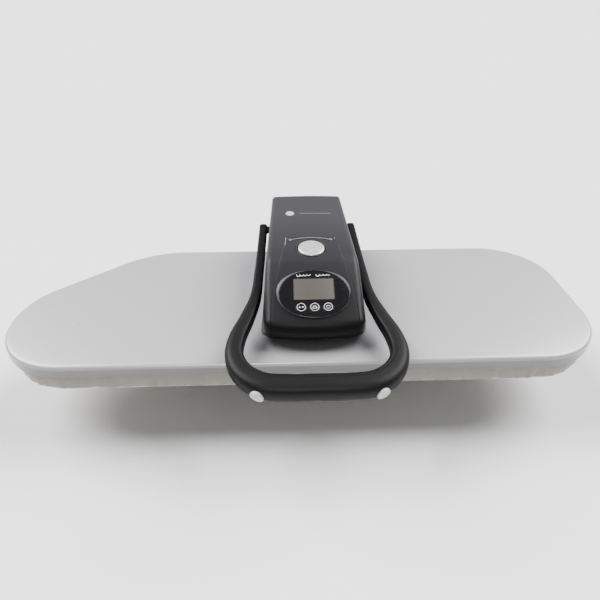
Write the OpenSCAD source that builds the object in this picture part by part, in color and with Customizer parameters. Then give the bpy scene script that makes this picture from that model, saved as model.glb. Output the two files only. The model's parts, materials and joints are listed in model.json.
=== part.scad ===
// Domestic steam ironing press, shown closed.
// X runs along the board, Y from the grip at the front (-) to the hinge at the back (+), Z up.
// Most pieces are drawn from the top face of the pressing shoe (z = 0) and the middle of the
// board; stand() then sets the whole press on the table.

/* [Pressing shoe] */
// Length of the shoe, side to side
shoe_l = 810; // [680:1:980]
// Depth of the shoe, front to back
shoe_d = 290; // [270:1:350]
// Length cut from the back edge at the shaped left end
cut_x = 157.6; // [120:0.1:190]
// Length cut from the left edge at the shaped left end
cut_y = 141.4; // [110:0.1:150]
// Corner radius at the two right-hand corners and the front left corner
corner_r = 97; // [60:1:98]
// Radius where the cut meets the back edge
knee_r = 141; // [80:1:160]
// Radius where the cut meets the left edge
end_r = 105; // [60:1:110]
// Height of the rim that hangs round the shoe
rim_h = 17; // [12:0.5:26]
// Sheet thickness of the shoe's cover
cover_t = 1.2; // [0.8:0.1:2]
// Thickness of the heated plate
plate_t = 5; // [3:0.5:8]
// Radius of the steam holes in the heated plate
steam_hole_r = 2.5; // [1.5:0.1:4]

/* [Board] */
// How far the padded board stands inside the shoe's edge
board_inset = 7; // [4:0.5:14]
// Thickness of the foam pad
pad_t = 15.5; // [8:0.5:22]
// Thickness of the cotton cover
cloth_t = 1.5; // [0.8:0.1:2.5]
// Height of the tray under the pad
tray_h = 8; // [6:0.5:16]

/* [Base] */
// Height of the shoe's top above the table
stand_h = 122; // [105:1:160]
// Width of the base pan
base_w = 400; // [300:1:520]
// Depth of the base pan
base_d = 250; // [215:1:255]
// Height of the base pan
base_h = 22; // [16:1:32]
// Height of the rubber feet
foot_h = 6; // [4:0.5:12]
// Width of the column that carries the board
column_w = 220; // [160:1:300]

/* [Hinge and linkage] */
// How far the hinge stands behind the shoe
hinge_back = 27; // [24:0.5:36]
// Radius of the hinge pin
hinge_pin_r = 6; // [4:0.5:8]
// Radius of the handle's cross shaft
shaft_r = 6; // [4:0.5:8]
// Height of the handle's shaft above the shoe
shaft_z = 58; // [54:0.5:62]
// Height of the fixed link pin above the hinge
link_rise = 18; // [17:0.5:20]
// Radius of both link pins
link_pin_r = 3; // [2:0.25:4]
// Length of the crank on the shaft
crank_l = 18; // [16:0.5:21]
// Running clearance of pins and shafts
run = 0.05; // [0.02:0.01:0.09]
// Clearance round the fixed link pin, which leaves that end of the link open
open_run = 1.4; // [1.2:0.1:2]

/* [Control tower] */
// Offset of the tower and the handle from the middle of the board
tower_x = 12.5; // [-20:0.5:20]
// Half width of the tower at its nose
tower_half = 66; // [62:0.5:67]
// Wall of the tower's mouldings
wall = 3; // [2:0.25:4]
// Tilt of the control panel
panel_tilt = 27; // [20:1:32]
// Half width of the oval display window
window_a = 46; // [42:0.5:48]
// Half height of the oval display window
window_b = 34.5; // [32:0.5:36]
// Radius of the steam button
button_r = 18.5; // [14:0.5:20]
// Travel of the steam button
button_travel = 3; // [1.5:0.5:3]
// Radius of a control key
key_r = 6.1; // [4:0.1:6.4]
// Distance between keys
key_pitch = 17.3; // [16:0.1:20]
// Travel of a control key
key_travel = 0.8; // [0.4:0.1:1]
// Width of the water tank
tank_w = 72; // [50:1:84]

/* [Handle] */
// How far the grip bar reaches in front of the shoe
grip_reach = 62; // [58:1:80]
// Half width of the handle's arms beside the tower
arm_half = 69.5; // [69:0.5:76]
// Half width of the handle at its widest
bow_half = 100; // [90:1:112]
// Half thickness of the grip bar
grip_a = 14.5; // [12:0.5:16]
// Slope of the handle
handle_slope = 8.1; // [7.5:0.1:8.5]

/* [Hidden] */
$fn = 48;
SOFT_GAP = 0.3;

front_y = -shoe_d / 2;
back_y = shoe_d / 2;
hinge_y = back_y + hinge_back;
plate_z = -rim_h - 2;                       // underside of the heated plate
hinge_z = plate_z;
pad_top = plate_z - SOFT_GAP;               // top of the cotton cover
foam_top = pad_top - cloth_t;
tray_top = foam_top - pad_t;
tray_bottom = tray_top - tray_h;
cover_lip = tray_bottom - cloth_t;
floor_z = -stand_h;
pan_bottom = floor_z + foot_h;
pan_top = pan_bottom + base_h;
base_back = hinge_y + 30;                   // rear face of the base pan
foot_in = 28;                               // feet, from the edges of the pan
base_front = base_back - base_d;
grip_y = front_y - grip_reach;
shaft_y = -67;                              // handle's shaft, from the hinge line
pivot_y = hinge_y + shaft_y;
grip_front = pivot_y - (pivot_y - grip_y + grip_a) * cos(handle_slope);
y_mid = -(grip_front + base_back) / 2;      // brings the middle of the press to y = 0

// ---- placing ----
module stand() { translate([0, y_mid, stand_h]) children(); }
module tower() { stand() translate([tower_x, hinge_y, 0]) children(); }
// A plate standing across the press: drawn in (y, z), t thick, its middle at x
module side_plate(x, t) {
    translate([x - t / 2, 0, 0]) rotate([90, 0, 90]) linear_extrude(t) children();
}
module cross_rod(y, z, r, x0, x1) { translate([x0, y, z]) rotate([0, 90, 0]) cylinder(h = x1 - x0, r = r); }
// A straight round rod from a to b
module rod(a, b, r) {
    d = b - a;
    translate(a) rotate([0, acos(d.z / norm(d)), atan2(d.y, d.x)]) cylinder(h = norm(d), r = r);
}

// ---- outlines ----
function unit(v) = v / norm(v);
function left(v) = [-v.y, v.x];
// Corner i of polygon p, with every side moved inwards by d
function moved(p, i, d) =
    let (n = len(p), u = unit(p[i] - p[(i + n - 1) % n]), w = unit(p[(i + 1) % n] - p[i]))
    p[i] + d * (left(u) + left(w)) / (1 + left(u) * left(w));
// Points of an anticlockwise polygon with radii r, moved inwards by d
function rounded(p, r, d = 0, steps = 10) = [for (i = [0:len(p) - 1])
    let (n = len(p), u = unit(p[i] - p[(i + n - 1) % n]), w = unit(p[(i + 1) % n] - p[i]),
        turn = acos(u * w), c = moved(p, i, r[i]))
    for (s = [0:steps]) let (a = turn * s / steps)
        c - (r[i] - d) * (left(u) * cos(a) - u * sin(a))];
function box_points(x0, x1, y0, y1) = [[x0, y0], [x1, y0], [x1, y1], [x0, y1]];
function oval(a, b, n = 60) = [for (i = [0:n - 1]) [a * cos(i * 360 / n), b * sin(i * 360 / n)]];

shoe_corners = [[-shoe_l / 2, front_y], [shoe_l / 2, front_y], [shoe_l / 2, back_y],
    [-shoe_l / 2 + cut_x, back_y], [-shoe_l / 2, back_y - cut_y]];
shoe_radii = [corner_r, corner_r, corner_r, knee_r, end_r];
module shoe_slab(inset, z0, z1) {
    translate([0, 0, z0]) linear_extrude(z1 - z0) polygon(rounded(shoe_corners, shoe_radii, inset));
}

// ---- base ----
foot_r = 14;
module foot_places() {
    for (x = [-1, 1], y = [base_front + foot_in, base_back - foot_in])
        translate([x * (base_w / 2 - foot_in), y, 0]) children();
}
module rubber_feet() {
    color("dimgray") stand() foot_places() translate([0, 0, floor_z]) cylinder(h = foot_h, r = foot_r);
}
module pan_slab(inset, z0, z1) {
    p = box_points(-base_w / 2, base_w / 2, base_front, base_back);
    translate([0, 0, z0]) linear_extrude(z1 - z0) polygon(rounded(p, [30, 30, 30, 30], inset, 6));
}
pan_t = 2.5;
module base_pan() {
    color("darkgray") stand() difference() {
        pan_slab(0, pan_bottom, pan_top);
        pan_slab(pan_t, pan_bottom - 1, pan_top - pan_t);
        translate([inlet_x, base_back + 5, inlet_z]) rotate([90, 0, 0]) cylinder(h = 15, r = inlet_r);
    }
}
bottom_t = 1.5;
module bottom_plate() { color("gray") stand() pan_slab(pan_t, pan_bottom, pan_bottom + bottom_t); }
column_t = 3;
column_back = back_y - 32;
column_front = column_back - 140;
module board_column() {
    color("darkgray") stand() difference() {
        translate([0, 0, pan_top]) linear_extrude(tray_top - tray_t - pan_top)
            polygon(rounded(box_points(-column_w / 2, column_w / 2, column_front, column_back),
                [20, 20, 20, 20], 0, 6));
        translate([0, 0, pan_top - 1]) linear_extrude(tray_top - tray_t - pan_top - column_t + 1)
            polygon(rounded(box_points(-column_w / 2, column_w / 2, column_front, column_back),
                [20, 20, 20, 20], column_t, 6));
    }
}
inlet_r = 7;
inlet_x = 150;
inlet_z = pan_bottom + base_h / 2;
module cord_inlet() {
    color("dimgray") stand() translate([inlet_x, base_back, inlet_z]) rotate([-90, 0, 0]) difference() {
        union() {
            translate([0, 0, -pan_t]) cylinder(h = pan_t, r = inlet_r);
            translate([0, 0, -pan_t - 2]) cylinder(h = 2, r = inlet_r + 1);
        }
        translate([0, 0, -pan_t - 3]) cylinder(h = pan_t + 4, r = 4.5);
    }
}
// Two steel cheeks carry the hinge pin and the fixed end of the toggle link
cheek_half = 32;
cheek_t = 4;
cheek_front = -21;
cheek_rear = 22;
link_pin_y = -2;
module cheek(side) {
    tower() {
        side_plate(side * cheek_half, cheek_t) difference() {
            union() {
                polygon([[cheek_front, pan_top], [cheek_rear, pan_top], [13, hinge_z], [-13, hinge_z]]);
                translate([0, hinge_z]) circle(14);
                translate([link_pin_y, hinge_z + link_rise]) circle(7);
            }
            translate([0, hinge_z]) circle(hinge_pin_r);
            translate([link_pin_y, hinge_z + link_rise]) circle(link_pin_r);
        }
        translate([side > 0 ? cheek_half - 24 + cheek_t / 2 : -cheek_half - cheek_t / 2, cheek_front, pan_top])
            difference() {
                cube([24, cheek_rear - cheek_front, 4]);
                for (y = bolt_ys)
                    translate([side > 0 ? bolt_in : 24 - bolt_in, y - cheek_front, -1]) cylinder(h = 6, r = bolt_r);
            }
    }
}
bolt_r = 3;
bolt_in = 9;
bolt_ys = [-12, 12];
module hinge_bracket_left() { color("silver") cheek(-1); }
module hinge_bracket_right() { color("silver") cheek(1); }
bolt_x = cheek_half + cheek_t / 2 - 24 + bolt_in;
module bracket_bolts() {
    color("silver") tower() for (s = [-1, 1], y = bolt_ys) translate([s * bolt_x, y, pan_top + 4]) {
        cylinder(h = 4, r = 5.5, $fn = 6);
        translate([0, 0, -4]) cylinder(h = 4, r = bolt_r);
    }
}
pin_half = 46;
module hinge_pin() { color("silver") tower() cross_rod(0, hinge_z, hinge_pin_r, -pin_half, pin_half); }
module link_pin() {
    color("silver") tower()
        cross_rod(link_pin_y, hinge_z + link_rise, link_pin_r, -cheek_half - cheek_t / 2, cheek_half + cheek_t / 2);
}
// Points of a ring of n sides and radius r round c, square to t
function ring(c, t, r, n) =
    let (z = unit(t), x = unit(cross(z, abs(z.x) > 0.9 ? [0, 1, 0] : [1, 0, 0])), y = cross(z, x))
    [for (i = [0:n - 1]) c + r * (x * cos(i * 360 / n) + y * sin(i * 360 / n))];
module coil(r, wire, turns, length, n = 6, per_turn = 16) {
    m = round(turns * per_turn);
    p = [for (i = [0:m]) [r * cos(i * 360 / per_turn), r * sin(i * 360 / per_turn), length * i / m]];
    pts = [for (i = [0:m]) let (a = i * 360 / per_turn, u = [cos(a), sin(a), 0])
        for (k = [0:n - 1]) p[i] + wire * (u * cos(k * 360 / n) + [0, 0, sin(k * 360 / n)])];
    faces = concat([[for (k = [0:n - 1]) k]], [[for (k = [n - 1:-1:0]) m * n + k]],
        [for (i = [0:m - 1], k = [0:n - 1]) each
            [[i * n + k, (i + 1) * n + k, (i + 1) * n + (k + 1) % n],
             [i * n + k, (i + 1) * n + (k + 1) % n, i * n + (k + 1) % n]]]);
    polyhedron(pts, faces);
}
spring_wire = 1.1;
module lift_spring() {
    color("gray") tower() translate([-cheek_half + cheek_t / 2 + spring_wire, 0, hinge_z])
        rotate([0, 90, 0]) coil(hinge_pin_r + 0.1 + spring_wire, spring_wire, 6, 17);
}
guard_half = 46;
guard_t = 2;
module rear_guard() {
    color("darkgray") tower() difference() {
        translate([-guard_half, cheek_front - 2, pan_top]) cube([2 * guard_half, cheek_rear - cheek_front + 7, 34]);
        translate([-guard_half + guard_t, cheek_front - 2 + guard_t, pan_top - 1])
            cube([2 * (guard_half - guard_t), cheek_rear - cheek_front + 7 - 2 * guard_t, 37]);
    }
}
// ---- board ----
tray_t = 2;
tray_inset = board_inset + cloth_t + 0.3;
vent_pitch = 70;
module board_tray() {
    color("gray") stand() difference() {
        shoe_slab(tray_inset, tray_bottom, tray_top);
        shoe_slab(tray_inset + tray_t, tray_bottom - 1, tray_top - tray_t);
        for (x = [-4:4], y = [-1, 0, 1]) if (!(x < -2 && y > 0))
            translate([x * vent_pitch, y * vent_pitch, tray_top - tray_t - 1]) cylinder(h = tray_t + 2, r = 4);
        screw_places() translate([0, 0, tray_top - tray_t - 1]) cylinder(h = tray_t + 2, r = 2.5);
    }
}
module screw_places() {
    for (x = [-1, 1], y = [column_front + 14, column_back - 14])
        translate([x * (column_w / 2 - 14), y, 0]) children();
}
module board_screws() {
    color("silver") stand() screw_places() translate([0, 0, tray_top - tray_t]) cylinder(h = tray_t, r = 2.5);
}
module foam_pad() { color("khaki") stand() shoe_slab(tray_inset, tray_top, foam_top); }
module board_cover() {
    color("darkgray") stand() difference() {
        shoe_slab(board_inset, cover_lip, pad_top);
        shoe_slab(board_inset + cloth_t + 0.2, tray_bottom, foam_top);
        shoe_slab(board_inset + 20, cover_lip - 1, tray_bottom + 1);
    }
}
// ---- shoe ----
// Opening through the cover, the mat and the arm for the steam hose, from the hinge line
hose_x = 25;
hose_y = -160;
hose_hole_r = 9;
plate_inset = 8;
plate_top = plate_z + plate_t;
module shoe_cover() {
    color("silver") stand() difference() {
        shoe_slab(0, -rim_h, 0);
        shoe_slab(cover_t, -rim_h - 1, -cover_t);
        translate([tower_x + hose_x, hinge_y + hose_y, -cover_t - 1]) cylinder(h = cover_t + 2, r = hose_hole_r);
    }
}
mat_bottom = -7;
module insulation_mat() {
    color("linen") stand() difference() {
        shoe_slab(plate_inset, mat_bottom, -cover_t);
        stud_places() translate([0, 0, mat_bottom - 1]) cylinder(h = 8, r = 4);
        translate([tower_x + hose_x, hinge_y + hose_y, mat_bottom - 1]) cylinder(h = 8, r = hose_hole_r);
    }
}
module heat_plate() {
    color("lightgray") stand() difference() {
        shoe_slab(plate_inset, plate_z, plate_top);
        for (x = [-5:5], y = [-1, 0, 1]) if (!(x < -3 && y > 0))
            translate([x * 60 + 30, y * 78, plate_z - 1]) cylinder(h = plate_t + 2, r = steam_hole_r);
    }
}
element_r = 3;
element_half = 95;
element_x0 = -shoe_l / 2 + 190;
element_x1 = shoe_l / 2 - 150;
module heating_element() {
    color("dimgray") stand() translate([0, 0, plate_top + element_r]) {
        for (y = [-1, 1] * element_half / 2) rod([element_x0, y, 0], [element_x1, y, 0], element_r);
        translate([element_x1, 0, 0]) rotate_extrude(angle = 180, start = -90)
            translate([element_half / 2, 0]) circle(element_r);
    }
}
stud_x = shoe_l / 2 - 115;
module stud_places() {
    for (x = [-1, 0, 1], y = [-1, 1]) translate([x * stud_x, x < 0 && y > 0 ? 78 : y * 104, 0]) children();
}
module plate_studs() {
    color("silver") stand() stud_places() translate([0, 0, plate_top]) cylinder(h = -cover_t - plate_top, r = 3);
}
module steam_chamber() {
    color("gray") stand() translate([tower_x - 45, -36, plate_top]) difference() {
        cube([110, 72, mat_bottom - plate_top]);
        translate([3, 3, -1]) cube([104, 66, mat_bottom - plate_top - 1]);
        translate([45 + hose_x, 36 + hinge_y + hose_y, 1]) cylinder(h = 10, r = hose_r);
    }
}
module temperature_sensor() { color("silver") stand() translate([150, 0, plate_top]) cylinder(h = 5, r = 7); }
fuse_r = 2.5;
module thermal_fuse() {
    color("white") stand() rod([-165, 0, plate_top + fuse_r], [-140, 0, plate_top + fuse_r], fuse_r);
}
// ---- arm ----
web_half = 42;
web_t = 3;
plate_x = 40;
arm_t = 4;
module arm_frame() {
    color("silver") tower() difference() {
        union() {
            translate([-web_half, -270, 0]) cube([2 * web_half, 224, web_t]);
            for (s = [-1, 1]) side_plate(s * plate_x, arm_t) union() {
                polygon([[-270, 0], [-24, 0], [-13, hinge_z], [12, hinge_z - 2], [12, 6], [-40, 30],
                    [-55, shaft_z], [-79, shaft_z], [-100, 30], [-270, 18]]);
                translate([0, hinge_z]) circle(13);
                translate([shaft_y, shaft_z]) circle(12);
            }
        }
        cross_rod(0, hinge_z, bush_r, -web_half - 1, web_half + 1);
        cross_rod(shaft_y, shaft_z, bush_r, -web_half - 1, web_half + 1);
        translate([hose_x, hose_y, -1]) cylinder(h = web_t + 2, r = hose_hole_r);
        frame_screw_places() translate([0, 0, -1]) cylinder(h = web_t + 2, r = 2.5);
    }
}
bush_r = 9;
bush_flange = 11;
module hinge_bushes() {
    color("gold") tower() for (s = [0, 1]) mirror([s, 0, 0]) difference() {
        union() {
            cross_rod(0, hinge_z, bush_r, plate_x - arm_t / 2, plate_x + arm_t / 2);
            cross_rod(0, hinge_z, bush_flange, cheek_half + cheek_t / 2 + SOFT_GAP, plate_x - arm_t / 2);
        }
        cross_rod(0, hinge_z, hinge_pin_r + run, 30, 50);
    }
}
module shaft_bushes() {
    color("gold") tower() for (s = [0, 1]) mirror([s, 0, 0]) difference() {
        union() {
            cross_rod(shaft_y, shaft_z, bush_r, plate_x - arm_t / 2, plate_x + arm_t / 2);
            cross_rod(shaft_y, shaft_z, bush_flange, plate_x + arm_t / 2, plate_x + arm_t / 2 + 2);
        }
        cross_rod(shaft_y, shaft_z, shaft_r + run, 30, 50);
    }
}
module frame_screw_places() {
    for (x = [-30, 30], y = [-255, -75]) translate([x, y, 0]) children();
}
module frame_screws() {
    color("silver") tower() frame_screw_places() {
        cylinder(h = web_t, r = 2.5);
        translate([0, 0, web_t]) cylinder(h = 2.5, r = 4.5);
    }
}
// ---- control tower ----
// Side outline of the tower, in (y, z) from the hinge line
tower_top = 97;
top_back_y = -22;
crest_y = -200;
crest_z = 82;
nose_y = -293;
tower_floor = 6;
panel_run = 90;                             // of the sloped panel, front to back
shell_back = 16;
side_outline = [[nose_y + 16, tower_floor], [shell_back, tower_floor + 2], [shell_back - 6, 60], [top_back_y, tower_top],
    [crest_y, crest_z], [crest_y - panel_run, crest_z - panel_run * tan(panel_tilt)], [nose_y, 24], [nose_y + 4, 12]];
side_radii = [6, 4, 20, 8, 30, 8, 8, 6];
back_half = 54;
module tower_solid(inset, below) {
    intersection() {
        side_plate(0, 200) union() {
            polygon(rounded(side_outline, side_radii, inset, 5));
            if (below) polygon([[nose_y + 12 + inset, -5], [shell_back - inset, -5], [shell_back - inset, 14],
                [nose_y + 12 + inset, 14]]);
        }
        translate([0, 0, -10]) linear_extrude(120) polygon([
            [-30 + inset, nose_y + inset], [30 - inset, nose_y + inset], [tower_half - 6 - inset, nose_y + 10 + inset],
            [tower_half - inset, nose_y + 40], [tower_half - 4 - inset, -170], [back_half - inset, 30],
            [-back_half + inset, 30], [-tower_half + 4 + inset, -170], [-tower_half + inset, nose_y + 40],
            [-tower_half + 6 + inset, nose_y + 10 + inset]]);
    }
}
module tower_skin() {
    difference() {
        tower_solid(0, false);
        tower_solid(wall, true);
    }
}
fascia_back = -149;
module fascia_block(gap) {
    translate([0, 0, 14 + gap]) linear_extrude(110) polygon([[-34 + gap, fascia_back - gap],
        [-52 + gap, -244], [-56 + gap, -310], [56 - gap, -310], [52 - gap, -244], [34 - gap, fascia_back - gap]]);
}
tank_half = tank_w / 2;
tank_z = 34;
tank_front = -33;
tank_top = 82;
module tank_bay() {
    translate([-tank_half - SOFT_GAP, tank_front - SOFT_GAP, tank_z - 2])
        cube([tank_w + 2 * SOFT_GAP, 90, tank_top - tank_z + 2 + SOFT_GAP]);
}
module tower_shell() {
    color("#3c3b3f") tower() difference() {
        tower_skin();
        fascia_block(0);
        tank_bay();
        cross_rod(shaft_y, shaft_z, shaft_r + 0.4, -90, 90);
        translate(badge_place) rotate([top_tilt, 0, 0]) cylinder(h = 10, r = badge_r, center = true);
        // room for the hinge cheeks and the arm plates behind the shoe
        translate([-web_half - SOFT_GAP, -30, 0]) cube([2 * web_half + 2 * SOFT_GAP, 44, 30]);
    }
}
top_tilt = atan((tower_top - crest_z) / (top_back_y - crest_y));
function top_z(y) = tower_top + (y - top_back_y) * tan(top_tilt);
badge_r = 6.5;
badge_y = -80;
badge_place = [-25, badge_y, top_z(badge_y)];
module badge() {
    color("silver") tower() translate(badge_place) rotate([top_tilt, 0, 0]) translate([0, 0, -wall + 0.5])
        cylinder(h = wall, r = badge_r - 0.05);
}
button_y = -176;
module on_top() { tower() translate([0, button_y, top_z(button_y)]) rotate([top_tilt, 0, 0]) children(); }
panel_y = -249.5;
panel_z = crest_z + (panel_y - crest_y) * tan(panel_tilt);
module panel_place() { translate([0, panel_y, panel_z]) rotate([panel_tilt, 0, 0]) children(); }
dish_r = button_r + 4.5;
bezel_a = window_a + 4;
bezel_b = window_b + 4;
module front_fascia() {
    color("#333236") tower() difference() {
        intersection() {
            tower_skin();
            fascia_block(0.15);
        }
        translate([0, button_y, top_z(button_y)]) rotate([top_tilt, 0, 0])
            translate([0, 0, -15]) cylinder(h = 30, r = dish_r - 1.5);
        panel_place() translate([0, 0, -12]) linear_extrude(30) polygon(oval(window_a, window_b));
    }
}
module display_bezel() {
    color("gray") tower() panel_place() translate([0, 0, 0.01]) difference() {
        linear_extrude(1.6) polygon(oval(bezel_a, bezel_b));
        translate([0, 0, -1]) linear_extrude(4) polygon(oval(window_a, window_b));
    }
}
key_v = -20;
lcd_v = 6.5;
module key_places() { for (i = [-1, 0, 1]) translate([i * key_pitch, key_v, 0]) children(); }
module display_window() {
    color("#101012") tower() panel_place() difference() {
        translate([0, 0, -2]) linear_extrude(3) polygon(oval(window_a - 0.1, window_b - 0.1));
        key_places() translate([0, 0, -3]) cylinder(h = 6, r = key_r + SOFT_GAP);
    }
}
module lcd_module() {
    color("#7c756b") tower() panel_place() translate([-28, lcd_v - 16, -8]) cube([56, 34, 6]);
}
board_top = -10.2 - key_travel;
module control_board() {
    color("darkgreen") tower() panel_place() {
        translate([-36, -31, board_top - 1.6]) cube([72, 54, 1.6]);
        for (x = [-34, 30], y = [-10, 16]) translate([x, y, board_top]) cube([4, 4, -2 - board_top]);
    }
}
module key(i) {
    color("whitesmoke") tower() panel_place() translate([i * key_pitch, key_v, 0]) {
        translate([0, 0, -9.6]) cylinder(h = 11, r = 2.5);
        translate([0, 0, -3.8]) cylinder(h = 1.5, r = key_r + 0.6);
        translate([0, 0, -3]) cylinder(h = 4.6, r = key_r);
    }
}
module power_key() { key(-1); }
module heat_key() { key(0); }
module timer_key() { key(1); }
dish_floor = -7 - button_travel;
stem_r = 4;
boss_r = 7;
module button_dish() {
    color("#1a1a1c") on_top() difference() {
        translate([0, 0, dish_floor]) cylinder(h = -dish_floor + 0.3, r = dish_r - 1.55);
        translate([0, 0, dish_floor + 1.5]) cylinder(h = 20, r = dish_r - 3);
        translate([0, 0, dish_floor - 1]) cylinder(h = 5, r = boss_r + 0.6);
    }
}
boss_bottom = -16;
module steam_button() {
    color("silver") on_top() difference() {
        union() {
            translate([0, 0, -5]) cylinder(h = 7, r1 = button_r - 0.5, r2 = button_r);
            translate([0, 0, 2]) cylinder(h = 1, r1 = button_r, r2 = button_r - 1.5);
            translate([0, 0, boss_bottom]) cylinder(h = 12, r = boss_r);
        }
        translate([0, 0, boss_bottom - 1]) cylinder(h = 17, r = stem_r + run);
    }
}
valve_top = -28;
stem_top = -4;
module valve_stem() {
    color("gold") on_top() translate([0, 0, valve_top - 8]) cylinder(h = stem_top - valve_top + 8, r = stem_r);
}
valve_r = 12;
module steam_valve() {
    color("goldenrod") difference() {
        on_top() translate([0, 0, -70]) cylinder(h = 70 + valve_top, r = valve_r);
        on_top() translate([0, 0, valve_top - 12]) cylinder(h = 20, r = stem_r + run);
        tower() translate([-50, button_y - 50, web_t - 100]) cube([100, 100, 100]);
    }
}
module button_spring() {
    color("silver") on_top() translate([0, 0, valve_top + 0.8])
        coil(stem_r + 1.2, 0.7, 4, boss_bottom - valve_top - 1.8);
}
hose_r = 3;
module water_pump() {
    color("dimgray") tower() difference() {
        union() {
            rod([hose_x, hose_y + 12, web_t + 12], [hose_x, hose_y + 60, web_t + 12], 11);
            translate([hose_x - 10, hose_y + 20, web_t]) cube([20, 32, 8]);
        }
        translate([hose_x, hose_y, 0]) cylinder(h = 30, r = hose_hole_r + 0.5);
    }
}
// A flexible tube of radius r through the points p
module tube(p, r, n = 8) {
    m = len(p) - 1;
    pts = [for (i = [0:m]) each ring(p[i], unit(p[min(i + 1, m)] - p[max(i - 1, 0)]), r, n)];
    faces = concat([[for (k = [n - 1:-1:0]) k]], [[for (k = [0:n - 1]) m * n + k]],
        [for (i = [0:m - 1], k = [0:n - 1]) each
            [[i * n + k, (i + 1) * n + (k + 1) % n, (i + 1) * n + k],
             [i * n + k, i * n + (k + 1) % n, (i + 1) * n + (k + 1) % n]]]);
    polyhedron(pts, faces);
}
module water_hoses() {
    color("white") tower() {
        tube([[hose_x, hose_y + 60, web_t + 13], [hose_x, hose_y + 90, web_t + 13], [hose_x, hose_y + 102, web_t + 16],
            [hose_x, tank_front - 14, tank_z + 3], [hose_x, tank_front - 7, tank_z + 6],
            [hose_x, tank_front - SOFT_GAP, tank_z + 6]], hose_r);
        tube([[hose_x, hose_y + 12, web_t + 12], [hose_x, hose_y + 6, web_t + 12], [hose_x, hose_y, web_t + 8],
            [hose_x, hose_y, web_t], [hose_x, hose_y, mat_bottom]], hose_r);
    }
}
module power_board() {
    color("darkgreen") tower() {
        for (x = [-34, -18], y = [-150, -96]) translate([x, y, web_t]) cube([4, 4, 5]);
        translate([-36, -154, web_t + 5]) cube([24, 64, 1.6]);
        translate([-33, -140, web_t + 6.6]) cube([16, 20, 14]);
    }
}
module tank_tray() {
    color("#3c3b3f") tower() translate([-plate_x + arm_t / 2, tank_front - 1, tank_z - 2])
        cube([2 * plate_x - arm_t, 40, 2 - SOFT_GAP]);
}
// The tank's sloped rear corner runs from slope_low to slope_high and carries the filler
slope_low = [9.6, 59];
slope_high = [-14, tank_top];
tank_outline = [[tank_front, tank_z], [12, tank_z], slope_low, slope_high, [tank_front, tank_top]];
cap_mid = [0, (slope_low.x + slope_high.x) / 2, (slope_low.y + slope_high.y) / 2];
cap_tilt = -atan((slope_high.y - slope_low.y) / (slope_low.x - slope_high.x));
module cap_place() { translate(cap_mid) rotate([cap_tilt, 0, 0]) children(); }
cap_r = 10;
fill_r = 7.5;
module water_tank() {
    color("lightsteelblue") tower() difference() {
        side_plate(0, tank_w) polygon(rounded(tank_outline, [3, 3, 3, 3, 3], 0, 4));
        side_plate(0, tank_w - 4) polygon(rounded(tank_outline, [3, 3, 3, 3, 3], 2, 4));
        cap_place() translate([0, 0, -6]) cylinder(h = 12, r = fill_r);
    }
}
module tank_cap_pin() {
    color("silver") tower() cap_place() cross_rod(-cap_r - 2.5, 1.6, 1, -7, 7);
}
module tank_cap() {
    color("dimgray") tower() cap_place() difference() {
        union() {
            translate([0, 0, SOFT_GAP]) cylinder(h = 2.6, r = cap_r);
            translate([0, 0, -1.6]) cylinder(h = 2, r = fill_r - 0.5);
            cross_rod(-cap_r - 2.5, 1.6, 1.9 - SOFT_GAP, -5, 5);
            translate([-5, -cap_r - 2.5, SOFT_GAP]) cube([10, 6, 2.6]);
        }
        cross_rod(-cap_r - 2.5, 1.6, 1 + run, -9, 9);
    }
}
// ---- handle ----
// Half of the handle's middle line, from the shaft to the middle of the grip, in (x, y)
reach = pivot_y - grip_y;
half_path = [[arm_half, pivot_y + 9], [arm_half + 2, pivot_y - 0.15 * reach],
    [arm_half + 4.5, pivot_y - 0.34 * reach], [arm_half + 8, pivot_y - 0.51 * reach],
    [bow_half - 12.5, pivot_y - 0.64 * reach],
    [bow_half - 2, pivot_y - 0.75 * reach], [bow_half, pivot_y - 0.845 * reach],
    [bow_half - 11, pivot_y - 0.93 * reach], [bow_half - 34, grip_y + 4], [bow_half - 66, grip_y], [0, grip_y]];
half_a = [6.2, 6.2, 6.4, 7.2, 9, 10.5, 11.5, 13, grip_a, grip_a, grip_a];
half_b = [8, 8, 8, 8.5, 9, 10, 11, 12, 13, 13, 13];
function mirrored(v) = [for (i = [len(v) - 2:-1:0]) [-v[i].x, v[i].y]];
function echoed(v) = concat(v, [for (i = [len(v) - 2:-1:0]) v[i]]);
path = concat(half_path, mirrored(half_path));
path_a = echoed(half_a);
path_b = echoed(half_b);
// Value between v[i] and v[i+1] at t, by a smooth cubic through the neighbours
function cubic(v, i, t) =
    let (n = len(v), a = v[max(i - 1, 0)], b = v[i], c = v[min(i + 1, n - 1)], d = v[min(i + 2, n - 1)])
    0.5 * (2 * b + (c - a) * t + (2 * a - 5 * b + 4 * c - d) * t * t + (3 * b - a - 3 * c + d) * t * t * t);
PER_SPAN = 3;
function sampled(v) = concat([for (i = [0:len(v) - 2], s = [0:PER_SPAN - 1]) cubic(v, i, s / PER_SPAN)],
    [v[len(v) - 1]]);
line = sampled(path);
line_a = sampled(path_a);
line_b = sampled(path_b);
function tangent(i) = unit(line[min(i + 1, len(line) - 1)] - line[max(i - 1, 0)]);
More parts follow.
